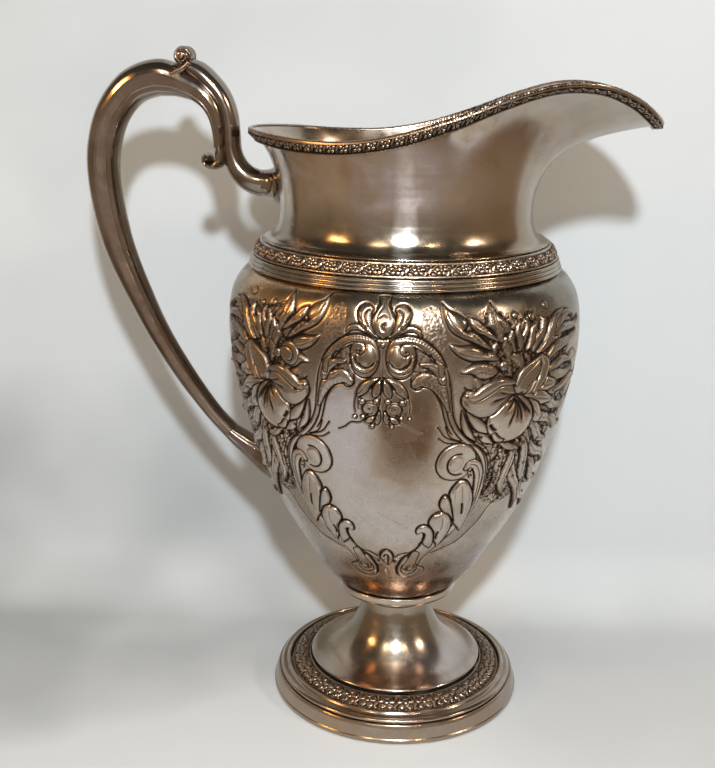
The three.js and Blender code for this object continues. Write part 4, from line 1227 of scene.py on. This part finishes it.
def moulding(finish):
    """Plain step outside the foot's floral border."""
    ring = [(51.2, 7.7), (51.1, 8.6), (50, 9.4), (48.4, 9.6), (47.9, 10), (47.7, 10.5), (47.1, 10.75),
            (46.6, 10.4)]
    back = [(46.6, 8.8), (48.6, 8.2), (49.9, 7.7)]
    piece("foot_step", [turn(round_corners(ring + back, 0.35))], ["foot_moulding"], finish)


def rim(finish):
    """Upright band round the foot."""
    face = [(54, 0), (54, 1.5), (53.6, 1.9), (53.55, 2.3), (53.2, 3.8), (52.6, 6.2), (52.1, 7.4)]
    back = [(50.2, 7.4), (50.9, 5.6), (51.7, 3.2), (52.6, 1.4), (52.6, 0)]
    piece("foot_rim_band", [turn(round_corners(face + back, 0.4))], ["foot_rim"], finish)


def base_wire(finish):
    """Wire inside the lower edge of the foot."""
    outline = [(52.3, 0), (52.3, 1.2), (51.4, 2.2), (50, 2.2), (49.4, 1.2), (49.4, 0)]
    piece("base_ring", [turn(round_corners(outline, 0.5))], ["foot_base_wire"], finish)


# ---------------------------------------------------------------- handle

MAIN_STRAND = [  # x and z, half depth across the strand, half width sideways
    (-76, 232.8, 2.6, 4.6), (-76.1, 238.5, 2.9, 5.1), (-77.1, 244.6, 3.4, 5.4), (-79.7, 250.1, 4, 5.8),
    (-84.5, 254.7, 4.8, 6.2), (-90.8, 257.4, 5.6, 6.6), (-97, 259.2, 7, 6.8), (-102, 259.5, 7.4, 6.9),
    (-112, 256, 7.3, 7), (-121.2, 245.8, 6.9, 7), (-126, 231.5, 6.75, 6.9), (-126.5, 219, 6.65, 6.8),
    (-124.6, 204, 6.4, 6.5), (-120.6, 188.4, 5.9, 6.1), (-112.8, 169.8, 5, 5.6), (-104.4, 152.8, 4.3, 5.1),
    (-93.1, 134.6, 3.8, 4.7), (-81.2, 118.9, 3.3, 4.5), (-74.2, 111.6, 3.3, 4.6),
]
UPPER_STRAND = [
    (-56.6, 218.7, 5.5, 5.9), (-60.4, 218.9, 5.4, 5.8), (-65, 220.8, 5.1, 5.6), (-69, 224.8, 4.6, 5.4),
    (-71.2, 231, 3.9, 5.2), (-71.6, 238.5, 3.7, 5.2), (-72.4, 246, 3.6, 5.4), (-75, 252.6, 3.7, 5.7),
    (-79.6, 258.2, 3.9, 6.1), (-84, 262, 3.9, 6.2), (-87.8, 264, 3.4, 6.2),
]
TAIL = [(-76.4, 113.8, 2.9, 4.1), (-73.6, 111, 3.4, 4.7), (-70.9, 109, 3.9, 5), (-67.2, 106.4, 4.5, 5.5),
        (-61.8, 102.6, 5.8, 6), (-54.4, 96, 5.8, 5.4), (-48.8, 88.4, 3.2, 3.4), ]
THUMB_SCROLL = (-90.1, 268, 3.9, 12.4)    # x and z of the middle, radius, width
INNER_CURL = [
    (-76, 234, 2.5, 4.5), (-75.6, 230.6, 2.8, 4.7), (-76, 227.8, 2.5, 4.8), (-77.8, 225.8, 2, 4.8),
    (-80.4, 225.1, 1.6, 4.8), (-82.3, 226.4, 1.5, 4.8), (-82.5, 228.4, 1.6, 4.8), (-81.6, 229.6, 1.5, 4.8),
]
# x and z, radius
THUMB_LEAF = [(-86.6, 265.6, 1), (-88.6, 263.6, 1.1), (-92.2, 261.9, 0.9), (-98, 260, 0.35)]
THUMB_LEAF_SIDE = 5.9    # distance of each leaf from the middle plane
SOCKET = [
    (-58.4, 218.75, 5.3, 5.7), (-57, 218.7, 5.6, 6), (-55.4, 218.65, 6, 6.4), (-54.2, 218.6, 6.7, 7.1),
    (-53.2, 218.5, 7.5, 7.9), (-52.5, 218.4, 8.2, 8.6),
]


def swept(strand, outline, dark, step=0.8):
    """Strand with an outline of [depth, width] shares, and the outline's darkness."""
    line = spline(strand, step)
    along = tangents(line)
    d, w = np.array(outline, float).T
    depth = line[:, 2:3] * d
    x, z = line[:, :1] + along[:, 1:] * depth, line[:, 1:2] - along[:, :1] * depth
    return np.stack([x, line[:, 3:4] * w, z], axis=2), np.repeat(np.array(dark, float)[None], len(line),
            axis=0)


def mirrored_outline(half):
    """Whole outline from one side's points, which run from the outer middle to the inner middle."""
    p = round_corners(half, 0.03, closed=False)
    keep = resample(p, 0.045)
    return np.vstack([keep, (keep * (1, -1))[-2:0:-1]])


def grip_outline():
    """Round outer face with a crisp ridge, a flat facet, a deep groove and an inner bead."""
    dome = [(0.14 + 0.86 * math.cos(a), 0.985 * math.sin(a)) for a in np.linspace(0, 1.36, 16)]
    facet = [(0.26, 1.0), (0.2, 1.0), (0.16, 0.97), (0.1, 0.965), (-0.40, 0.875)]
    bead = [(-0.455, 0.825), (-0.51, 0.855), (-0.66, 0.85), (-0.8, 0.77), (-0.92, 0.56), (-0.985, 0.26),
            (-1, 0)]
    outline = mirrored_outline(dome + facet + bead)
    d, w = outline.T
    groove = 0.5 * np.exp(-((d + 0.455) / 0.035) ** 2) + 0.2 * np.exp(-((d - 0.16) / 0.025) ** 2)
    return outline, np.clip(groove * smoothstep(np.abs(w), 0.5, 0.65), 0, 1)


def round_outline():
    """Round strand, a little flattened along each side of its inner face."""
    half = []
    for a in np.linspace(0, math.pi, 34):
        pinch = 1 - 0.16 * max(0.0, -math.cos(a)) ** 0.7
        half.append((math.cos(a), math.sin(a) * pinch))
    outline = np.vstack([half, (np.array(half) * (1, -1))[-2:0:-1]])
    return outline, np.zeros(len(outline))


def scroll_end(x, z, radius, width, turns):
    """Rolled end of a strand: a drum with a raised spiral that winds to an eye on both faces."""
    around = full_circle(160)
    half = width / 2
    face = np.linspace(0, 1, 56)
    crown = lambda share: half - 3.3 * share ** 2.6
    rows, hollow_patina_and_painted_shade = [], []
    for side in (-1, 1):
        shares = face if side < 0 else face[::-1]
        for share in shares:
            phase = turns * share - side * (around + 2.4) / (2 * math.pi)
            away = np.abs(phase - np.round(phase)) / turns * radius
            ends = smoothstep(share, 0.2, 0.34), 1 - smoothstep(share, 0.9, 1.0)
            cut = np.exp(-(away / 0.3) ** 2) * ends[0] * ends[1]
            eye = 0.35 * (1 - smoothstep(share, 0.12, 0.3))
            y = side * (crown(share) - 0.55 * cut + eye - 0.35)
            r = radius * share * np.ones_like(around)
            rows.append(np.stack([x + r * np.cos(around), y, z + r * np.sin(around)], axis=1))
            hollow_patina_and_painted_shade.append(cut)
        if side < 0:
            for t in np.linspace(0, 1, 22)[1:-1]:
                y = (2 * t - 1) * (crown(1) - 0.35)
                hollow, reeds = 0.07 * math.sin(math.pi * t), 0.03 * math.cos(6 * math.pi * t)
                waist = radius * (1 - hollow + reeds - 0.03)
                r = np.full_like(around, waist)
                rows.append(np.stack([x + r * np.cos(around), np.full_like(around, y),
                            z + r * np.sin(around)], axis=1))
                hollow_patina_and_painted_shade.append(np.full_like(around, 0.0))
    grid, hollow_patina_and_painted_shade = np.array(rows), np.array(hollow_patina_and_painted_shade)
    return surface(grid[1:-1], fans=(True, True), hollow_patina_and_painted_shade=hollow_patina_and_painted_shade[1:-1])


def grip(finish):
    """Main strand of the handle, both halves in one, with patina in its grooves and painted shade on the
    flat facet along each side, darker lower down.
    """
    outline, dark = grip_outline()
    grid, hollow_patina_and_painted_shade = swept(MAIN_STRAND, outline, dark)
    d = outline[:, 0]
    # Painted shade: the flat facet along each side is darkened, more towards the lower end.
    facet = smoothstep(d, -0.46, -0.3) * (1 - smoothstep(d, 0.05, 0.15))
    lower = smoothstep(np.linspace(0, 1, len(grid)), 0.4, 0.75)
    hollow_patina_and_painted_shade = np.maximum(hollow_patina_and_painted_shade, (0.34 + 0.20 * lower)[:, None] * facet)
    piece("hollow_grip", [surface(grid, fans=(True, True), hollow_patina_and_painted_shade=hollow_patina_and_painted_shade)],
          ["handle_near_half", "handle_far_half"], finish)


def upper_strand(finish):
    """Strand that rises from the neck and lies on the main one."""
    outline, dark = round_outline()
    grid, hollow_patina_and_painted_shade = swept(UPPER_STRAND, outline, dark)
    piece("upper_scroll_strand", [surface(grid, fans=(True, True), hollow_patina_and_painted_shade=hollow_patina_and_painted_shade)], ["handle_upper_strand"],
          finish)


def scrolls(finish):
    """Thumb scroll with a small leaf on each side, and the scroll inside the handle."""
    parts = [scroll_end(*THUMB_SCROLL, 2.2)]
    line = spline(THUMB_LEAF, 0.4)
    around, along = full_circle(20), tangents(line)
    out = line[:, 2:] * np.cos(around)
    for side in (-1, 1):
        y = side * (THUMB_LEAF_SIDE + line[:, 2:] * np.sin(around))
        grid = np.stack([line[:, :1] + along[:, 1:] * out, y, line[:, 1:2] - along[:, :1] * out], axis=2)
        parts.append(surface(grid, fans=(True, True)))
    piece("thumb_volute", parts, ["thumb_scroll"], finish)
    outline, dark = round_outline()
    grid, hollow_patina_and_painted_shade = swept(INNER_CURL, outline, dark, step=0.3)
    eye = scroll_end(-81.3, 228.2, 1.9, 9.9, 1.2)
    piece("inner_volute", [surface(grid, fans=(True, True), hollow_patina_and_painted_shade=hollow_patina_and_painted_shade), eye], ["inner_scroll"], finish)


def socket(finish):
    """Flared collar that meets the curved neck."""
    angle = full_circle(72)
    stations = spline(SOCKET, 0.25)
    rows = [np.stack([np.full_like(angle, x), wide * np.cos(angle), z + high * np.sin(angle)], axis=1)
            for x, z, high, wide in stations]
    behind = lip_controls(np.array([math.pi]))
    profile = np.array([lip_point(behind, t)[0][0] for t in np.linspace(0, 0.6, 30)])
    foot = spline(NECK_FOOT, 0.5)
    neck = np.vstack([foot[:-1], profile])
    clear = lambda y, z: -np.sqrt(np.maximum((np.interp(z, neck[:, 1], neck[:, 0]) + GAP) ** 2 - y * y, 1))
    x, z, high, wide = stations[-1]
    for grow in (1.05, 1.08, 0.6, 0.2):
        y, height = grow * wide * np.cos(angle), z + grow * high * np.sin(angle)
        rows.append(np.stack([clear(y, height), y, height], axis=1))
    grid = np.array(rows)
    grid[:, :, 0] = np.minimum(grid[:, :, 0], clear(grid[:, :, 1], grid[:, :, 2]))
    piece("upper_socket", [surface(grid, fans=(True, True))], ["handle_upper_socket"], finish)


def tail(finish):
    """Tapering tail that lies along the body under the handle."""
    outline, dark = grip_outline()
    grid, hollow_patina_and_painted_shade = swept(TAIL, outline, dark, step=0.5)
    radius = np.hypot(grid[:, :, 0], grid[:, :, 1])
    clear = body_radius(grid[:, :, 2].ravel()).reshape(radius.shape) + GAP
    grow = np.maximum(1, clear / radius)
    grid[:, :, 0] *= grow
    grid[:, :, 1] *= grow
    piece("lower_tail", [surface(grid, fans=(True, True), hollow_patina_and_painted_shade=hollow_patina_and_painted_shade)], ["handle_lower_tail"], finish)


# ---------------------------------------------------------------- materials

class Nodes:
    """Short way to write the nodes of a new material or world."""

    def __init__(self, owner):
        self.owner = owner
        owner.use_nodes = True
        self.tree = owner.node_tree
        self.tree.nodes.clear()

    def add(self, kind, inputs=None, **settings):
        node = self.tree.nodes.new(kind)
        for key, value in settings.items():
            setattr(node, key, value)
        for key, value in (inputs or {}).items():
            if isinstance(value, bpy.types.NodeSocket):
                self.tree.links.new(value, node.inputs[key])
            else:
                node.inputs[key].default_value = value
        return node

    def math(self, operation, a, b=0.0):
        return self.add("ShaderNodeMath", {0: a, 1: b}, operation=operation).outputs[0]

    def span(self, value, low, high, new_low=0.0, new_high=1.0, shape="LINEAR"):
        sockets = {"Value": value, "From Min": low, "From Max": high, "To Min": new_low, "To Max": new_high}
        return self.add("ShaderNodeMapRange", sockets, clamp=True, interpolation_type=shape).outputs[0]

    def mix(self, share, a, b):
        return self.add("ShaderNodeMix", {0: share, 6: a, 7: b}, data_type="RGBA",
                        clamp_factor=True).outputs[2]

    def noise(self, place, scale, detail, roughness, distortion=0.0):
        sockets = {"Vector": place, "Scale": scale, "Detail": detail, "Roughness": roughness,
                   "Distortion": distortion}
        return self.add("ShaderNodeTexNoise", sockets).outputs["Fac"]

    def zone(self, place, centre, reach, wobble):
        """1 inside an ellipsoid of the given half sizes, 0 outside, with a soft uneven edge."""
        moved = self.add("ShaderNodeVectorMath", {0: place, 1: centre}, operation="SUBTRACT").outputs[0]
        share = self.add("ShaderNodeVectorMath", {0: moved, 1: reach}, operation="DIVIDE").outputs[0]
        away = self.add("ShaderNodeVectorMath", {0: share}, operation="LENGTH").outputs["Value"]
        uneven = self.math("ADD", away, self.math("MULTIPLY", self.math("SUBTRACT", wobble, 0.5), 1.6))
        return self.span(uneven, 1.15, 0.45)

    def stretched(self, place, scale, turn=(0, 0, 0)):
        return self.add("ShaderNodeMapping", {"Vector": place, "Scale": scale, "Rotation": turn}).outputs[0]


def colour(r, g, b):
    return (r, g, b, 1.0)


def silver(name, bright, warm, roughness, brushed, tarnish_and_painted_light, streak=(60, 60, 60), patina=(0.0, 0.95)):
    """Aged silver: bright metal, a warm brown film in patches, a near-black film where the mesh's dark
    attribute says so (painted shade on the handle's facets), and listed patches, some of them painted
    shade, painted highlights and painted reflections.

    roughness and patina are each a least and a most value, brushed is the anisotropy and streak the scales
    of the brushing.
    """
    n = Nodes(bpy.data.materials.new(name))
    place = n.add("ShaderNodeTexCoord").outputs["Object"]
    hollow_patina_and_painted_shade = n.add("ShaderNodeAttribute", attribute_name="hollow_patina_and_painted_shade").outputs["Fac"]
    cloud = n.noise(place, 22, 4, 0.6, 0.6)
    small = n.noise(place, 130, 5, 0.6, 0.3)
    film = n.span(n.math("ADD", n.math("MULTIPLY", cloud, 0.7), n.math("MULTIPLY", small, 0.3)), 0.40, 0.62,
                  patina[0], patina[1])
    lilac = n.span(n.noise(place, 34, 3, 0.6, 1.4), 0.48, 0.62, 0.0, 0.75)
    golden = n.span(n.noise(place, 19, 3, 0.6, 1.2), 0.52, 0.7, 0.0, 0.6)
    metal = n.mix(film, colour(*bright), colour(*warm))
    metal = n.mix(golden, metal, colour(warm[0] * 1.12, warm[1] * 1.04, warm[2] * 0.84))
    metal = n.mix(lilac, metal, colour(bright[0] * 0.86, bright[1] * 0.86, bright[2] * 0.98))
    # Listed patches laid over the metal colour: some tarnished, others painted shade, painted highlights
    # and painted reflections.
    for centre, reach, tint, strength in tarnish_and_painted_light:
        centre, reach = [v * MM for v in (centre[0] + AXIS_X, *centre[1:])], [v * MM for v in reach]
        share = n.math("MULTIPLY", n.zone(place, centre, reach, cloud), strength)
        metal = n.mix(share, metal, colour(*tint))
    spread = n.math("MULTIPLY", n.math("SUBTRACT", small, 0.5), 0.25)
    # Near-black film from the mesh's dark attribute: patina in the hollows, and painted shade on the
    # handle's facets.
    black_film_and_painted_shade = n.span(n.math("ADD", hollow_patina_and_painted_shade, spread), 0.11, 0.86)
    metal = n.mix(n.span(black_film_and_painted_shade, 0.0, 0.5), metal, colour(0.30, 0.22, 0.16))
    metal = n.mix(n.span(black_film_and_painted_shade, 0.35, 1.0), metal, colour(0.022, 0.016, 0.011))
    spun = n.noise(n.stretched(place, streak), 1.0, 3, 0.6)
    scratch = n.noise(n.stretched(place, (60, 900, 60), (0.5, 0.3, 0.9)), 1.0, 2, 0.5)
    wear = n.math("ADD", n.math("MULTIPLY", spun, 0.2), n.math("MULTIPLY", small, 0.8))
    gloss = n.math("ADD", n.span(wear, 0.35, 0.68, roughness[0], roughness[1]), n.math("MULTIPLY", black_film_and_painted_shade,
                   0.3))
    rough = n.math("ADD", n.math("MULTIPLY", spun, 0.55), n.math("MULTIPLY", scratch, 0.45))
    grain = n.noise(place, 1500, 3, 0.6)
    height = n.math("ADD", n.math("MULTIPLY", rough, 0.000011), n.math("MULTIPLY", grain, 0.00001))
    bump = n.add("ShaderNodeBump", {"Height": height, "Strength": 0.5, "Distance": 1.0})
    upward = n.add("ShaderNodeCombineXYZ", {2: 1.0}).outputs[0]
    shader = n.add("ShaderNodeBsdfPrincipled", {"Base Color": metal, "Metallic": 1.0, "Roughness": gloss,
                                                "Anisotropic": brushed, "Tangent": upward,
                                                "Normal": bump.outputs[0]})
    n.add("ShaderNodeOutputMaterial", {"Surface": shader.outputs[0]})
    return n.owner


# ---------------------------------------------------------------- stage, lights and camera

WALL_AT = 0.090          # distance of the backdrop behind the body's axis, m
WALL_LEAN = 0.10
SWEEP = 0.035            # radius of the bend between floor and backdrop
PAPER_HALF = 0.30
TABLE_FRONT = -0.150     # front edge of the paper before the pitcher, and to both sides of it
SIDE_FRONT = -0.34
FACING = 6.8 * DEGREE    # how far the pitcher is turned from facing the camera squarely
LENS = 51.56             # mm on a 36 mm wide sensor
YAW, PITCH, ROLL = -2.38 * DEGREE, 16.16 * DEGREE, 0.74 * DEGREE
CAMERA_AWAY, CAMERA_HEIGHT = 0.4437, 0.2653
KEY_SPOT = (0.020, -0.540, 0.470)
ALL_LIT = 0.14           # height on the pitcher that every lamp points at


def stage_point(x, y, z):
    """To the row frame from the camera's upright frame, in metres with the body's axis at its origin."""
    c, s = math.cos(FACING), math.sin(FACING)
    return Vector((x * c - y * s + AXIS_X * MM, x * s + y * c, z))


# Painted shade on the paper, places where it is a little darker: middle in the camera's frame, half sizes,
# colour, strength
PAPER_PAINTED_SHADES = [
    ((-0.24, 0.05, 0.02), (0.22, 0.10, 0.07), (0.34, 0.36, 0.365, 1), 0.9),
    ((-0.20, 0.12, 0.36), (0.16, 0.10, 0.10), (0.45, 0.475, 0.485, 1), 0.8),
    ((0.16, -0.05, 0.0), (0.20, 0.09, 0.04), (0.46, 0.48, 0.485, 1), 0.8),
]


def paper_material():
    """Pale paper with faint painted shade in places, which is clear from behind."""
    n = Nodes(bpy.data.materials.new("backdrop_paper"))
    place = n.add("ShaderNodeTexCoord").outputs["Object"]
    soft = n.span(n.noise(place, 5, 3, 0.5), 0.3, 0.7)
    tint = n.mix(soft, colour(0.510, 0.533, 0.540), colour(0.545, 0.568, 0.576))
    # Painted shade: darker places on the paper in the bend at the lower left, at the upper left and on the
    # floor front right.
    for spot, reach, shade, strength in PAPER_PAINTED_SHADES:
        tint = n.mix(n.math("MULTIPLY", n.zone(place, stage_point(*spot), reach, soft), strength), tint,
                     shade)
    paper = n.add("ShaderNodeBsdfPrincipled", {"Base Color": tint, "Roughness": 0.9,
                  "Specular IOR Level": 0.1})
    clear = n.add("ShaderNodeBsdfTransparent")
    back = n.add("ShaderNodeNewGeometry").outputs["Backfacing"]
    both = n.add("ShaderNodeMixShader", {0: back, 1: paper.outputs[0], 2: clear.outputs[0]})
    n.add("ShaderNodeOutputMaterial", {"Surface": both.outputs[0]})
    return n.owner


def plain_sheet(name, points, faces, material):
    """Part of the stage, which is no piece of the pitcher."""
    mesh = bpy.data.meshes.new(name)
    mesh.from_pydata(points, [], faces)
    mesh.polygons.foreach_set("use_smooth", [True] * len(faces))
    mesh.materials.append(material)
    thing = placed(name, mesh)
    thing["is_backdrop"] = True
    return thing


def backdrop():
    """Pale paper sweep of floor, bend and upright, seen from its front only, on a wide pale table."""
    bend = WALL_AT - SWEEP - 0.01
    line = [(share, 0.0, True) for share in np.linspace(1, 0, 8)]
    line += [(bend + SWEEP * math.sin(a), SWEEP * (1 - math.cos(a)), False)
             for a in np.linspace(0, math.pi / 2 - WALL_LEAN, 14)[1:]]
    y, z, _ = line[-1]
    line.append((y + WALL_LEAN * 0.8, z + 0.8, False))
    columns = np.linspace(-PAPER_HALF, PAPER_HALF, 61)
    points = []
    for y, z, floor in line:
        for x in columns:
            front = TABLE_FRONT + (SIDE_FRONT - TABLE_FRONT) * float(smoothstep(abs(x - 0.02), 0.03, 0.14))
            points.append(stage_point(x, bend + (front - bend) * y if floor else y, z - 0.0004))
    n = len(columns)
    faces = [(k * n + i, k * n + i + 1, (k + 1) * n + i + 1, (k + 1) * n + i)
             for k in range(len(line) - 1) for i in range(n - 1)]
    paper = paper_material()
    plain_sheet("backdrop", points, faces, paper)
    wide, low = 3.0, -0.002
    corners = [stage_point(x * wide, y * wide, low) for x, y in ((-1, -1), (1, -1), (1, 1), (-1, 1))]
    table = plain_sheet("table", corners, [(0, 1, 2, 3)], paper)
    table.visible_glossy = False


def lamp(name, place, target, size, power, tint):
    """Disk-shaped area lamp that faces its target."""
    data = bpy.data.lights.new(name, "AREA")
    data.shape, data.size, data.energy, data.color = "DISK", size, power, tint
    thing = placed(name, data)
    thing.location = place
    thing.rotation_euler = (target - place).to_track_quat("-Z", "Y").to_euler()
    return thing


def lights():
    """Cool key light, a warm lamp on each side, and lamps that show in reflections only."""
    middle = stage_point(0, 0, ALL_LIT)
    lamp("key", stage_point(*KEY_SPOT), middle, 0.036, 4.9, (0.77, 0.84, 0.91))
    lamp("lamp_left", stage_point(-1.50, -0.70, 0.93), middle, 0.16, 5.0, (1.0, 0.50, 0.16))
    lamp("lamp_right", stage_point(1.30, -0.60, 0.93), middle, 0.20, 7.0, (1.0, 0.80, 0.62))
    for name, place, size, power, tint in (
            ("flash_glint", stage_point(*KEY_SPOT), 0.05, 1.7, (1.0, 1.0, 1.0)),
            ("left_glow", stage_point(-1.30, -0.75, 0.95), 0.30, 4.0, (1.0, 0.52, 0.18)),
            ("shelf_lamp_left", stage_point(-0.42, -0.95, 0.98), 0.07, 2.4, (1.0, 0.78, 0.50)),
            ("shelf_lamp_right", stage_point(0.44, -0.95, 0.98), 0.07, 1.6, (1.0, 0.72, 0.42))):
        lamp(name, place, middle, size, power, tint).visible_diffuse = False


def room():
    """Warm room: brown level with the pitcher, darker to both sides and below, near-black above.

    Diffuse light and the camera get plain paler tones instead.
    """
    n = Nodes(bpy.data.worlds.new("room"))
    bpy.context.scene.world = n.owner
    place = n.add("ShaderNodeTexCoord").outputs["Generated"]
    split = n.add("ShaderNodeSeparateXYZ", {0: place}).outputs
    side = n.math("ABSOLUTE", split["X"])
    tone = n.mix(n.span(side, 0.25, 0.8, shape="SMOOTHSTEP"), colour(0.42, 0.35, 0.30),
                 colour(0.36, 0.27, 0.19))
    tone = n.mix(n.span(split["Z"], 0.12, 0.6, shape="SMOOTHSTEP"), tone, colour(0.10, 0.09, 0.08))
    tone = n.mix(n.span(split["Z"], -0.3, -0.65, shape="SMOOTHSTEP"), tone, colour(0.24, 0.155, 0.09))
    seen = n.add("ShaderNodeLightPath").outputs
    tone = n.mix(seen["Is Diffuse Ray"], tone, colour(0.60, 0.525, 0.43))
    tone = n.mix(seen["Is Camera Ray"], tone, colour(0.70, 0.70, 0.69))
    background = n.add("ShaderNodeBackground", {"Color": tone, "Strength": 1.0}).outputs[0]
    n.add("ShaderNodeOutputWorld", {"Surface": background})


def camera():
    """Camera with the photo's viewpoint."""
    data = bpy.data.cameras.new("camera")
    data.lens, data.sensor_width, data.clip_start = LENS, 36.0, 0.01
    yaw, pitch, roll = YAW, PITCH, ROLL
    level = Vector((math.cos(yaw), -math.sin(yaw), 0))
    ahead = Vector((math.sin(yaw) * math.cos(pitch), math.cos(yaw) * math.cos(pitch), -math.sin(pitch)))
    above = level.cross(ahead)
    right = level * math.cos(roll) + above * math.sin(roll)
    up = above * math.cos(roll) - level * math.sin(roll)
    origin = stage_point(0, 0, 0)
    turned = [stage_point(*v) - origin for v in (right, up, -ahead)]
    place = Matrix(turned).transposed().to_4x4()
    place.translation = stage_point(0, -CAMERA_AWAY, CAMERA_HEIGHT)
    thing = placed("camera", data)
    thing.matrix_world = place
    bpy.context.scene.camera = thing


# ---------------------------------------------------------------- the pitcher

# Patches of darker or brighter metal, some tarnished, others painted shade, painted highlights and painted
# reflections: middle and half sizes, mm, then colour and strength
ROLLED_TARNISH = [
    ((0, 0, 12), (140, 140, 20), (0.24, 0.18, 0.13), 0.75),
]
SHEET_TARNISH_AND_PAINTED_LIGHT = [
    ((0, 0, 190), (140, 140, 8), (0.33, 0.29, 0.24), 0.9),
    # Painted shade on the back of the neck by the lip, seen on its inside above the front lip.
    ((-18, 50, 240), (75, 36, 34), (0.26, 0.2, 0.145), 0.95),
    ((4, -40, 18), (30, 20, 12), (0.36, 0.28, 0.2), 0.7),
    ((0, 0, 203), (140, 140, 14), (0.25, 0.21, 0.155), 0.9),
    ((62, -30, 228), (34, 50, 36), (0.38, 0.3, 0.22), 0.75),
    ((44, -40, 205), (18, 30, 20), (0.36, 0.28, 0.2), 0.6),
    ((-20, -16, 34), (20, 30, 18), (0.32, 0.2, 0.11), 0.8),
    ((0, 0, 32), (60, 60, 12), (0.25, 0.21, 0.155), 0.85),
    ((0, 0, 3), (120, 120, 16), (0.35, 0.27, 0.2), 0.85),
    # Painted highlight: a bright upright streak down the middle of the neck's front.
    ((5.5, -50, 212), (4.2, 25, 34), (0.86, 0.83, 0.8), 0.75),
]
CAST_TARNISH = [
    ((-103, 0, 140), (50, 30, 62), (0.17, 0.13, 0.1), 0.75),
]
CHASED_TARNISH_AND_PAINTED_LIGHT = [
    ((56, 0, 150), (40, 110, 62), (0.36, 0.28, 0.2), 0.75),
    ((-56, 0, 150), (40, 110, 62), (0.36, 0.28, 0.2), 0.75),
    # Painted shade: a dark band round the shoulder that dims its reflections.
    ((0, 0, 184), (180, 180, 18), (0.22, 0.2, 0.165), 0.95),
    # Painted shade over the top of the cartouche and the shoulder above it, dimming their highlights.
    ((0, -58, 166), (62, 60, 30), (0.25, 0.23, 0.2), 0.85),
    ((0, -60, 174), (52, 50, 14), (0.15, 0.13, 0.1), 0.75),
    ((-52, -45, 170), (30, 45, 26), (0.27, 0.19, 0.12), 0.6),
    # Painted reflection: a brown patch in the front reserve that stands in for a dark reflection.
    ((8, -69, 148), (42, 30, 46), (0.38, 0.29, 0.21), 0.55),
    ((13, -69, 142), (22, 30, 30), (0.32, 0.22, 0.14), 0.3),
    ((-14, -70, 136), (14, 30, 26), (0.62, 0.58, 0.63), 0.5),
    ((0, -50, 98), (30, 30, 18), (0.58, 0.54, 0.54), 0.4),
    # Painted shade: dark reddish brown on the underside of the body.
    ((0, 0, 50), (62, 62, 36), (0.22, 0.12, 0.07), 0.95),
    # Painted reflection: the left lamp's orange glow on the left of the shoulder.
    ((-43, -50, 186), (34, 40, 14), (0.62, 0.42, 0.22), 0.7),
    ((44, -40, 118), (30, 45, 30), (0.62, 0.54, 0.47), 0.8),
    ((-42, -45, 128), (26, 40, 26), (0.6, 0.52, 0.45), 0.7),
]


def pitcher():
    """Makes the four silver finishes and all the pieces."""
    sheet = "plain_silver", silver("sheet_silver", (0.64, 0.58, 0.51), (0.41, 0.32, 0.235), (0.15, 0.29),
            0.3, SHEET_TARNISH_AND_PAINTED_LIGHT, streak=(9, 9, 900))
    chased = "chased_silver", silver("chased_silver", (0.54, 0.48, 0.415), (0.35, 0.27, 0.20), (0.19, 0.35),
            0.15, CHASED_TARNISH_AND_PAINTED_LIGHT)
    rolled = "chased_silver", silver("rolled_silver", (0.43, 0.37, 0.30), (0.26, 0.20, 0.14), (0.18, 0.32),
            0.0, ROLLED_TARNISH)
    cast = "cast_silver", silver("cast_silver", (0.37, 0.315, 0.26), (0.18, 0.135, 0.10), (0.11, 0.23), 0.0,
                                 CAST_TARNISH, streak=(70, 70, 70), patina=(0.1, 1.0))
    body_piece(chased)
    turned_border("floral_shoulder_band", "shoulder_band",
                  [(61.2, 193.3), (61.4, 194.3), (60.9, 196), (59.7, 197.8), (58.2, 198.6)],
                  [(57.3, 198.6), (58.8, 195.9), (59.8, 193.3)], 46, 0.2, rolled)
    turned_border("floral_foot_border", "foot_border",
                  [(46.3, 9.6), (45.4, 10.9), (43.4, 12.2), (41, 13), (39, 13.2), (37.6, 12.6)],
                  [(37.6, 11.5), (41, 11.9), (44.4, 10.2), (45.2, 9.4)], 33, 0.24, rolled)
    neck_piece(sheet)
    lip_border_piece(rolled)
    for make in (shoulder_reeding, collar, stem, moulding, rim, base_wire):
        make(sheet)
    for make in (grip, upper_strand, scrolls, socket, tail):
        make(cast)


bpy.context.scene.view_settings.view_transform = "Standard"
camera()
backdrop()
lights()
room()
pitcher()
{"cad": CAD_BOX, "visual": [list(corner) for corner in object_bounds()]}
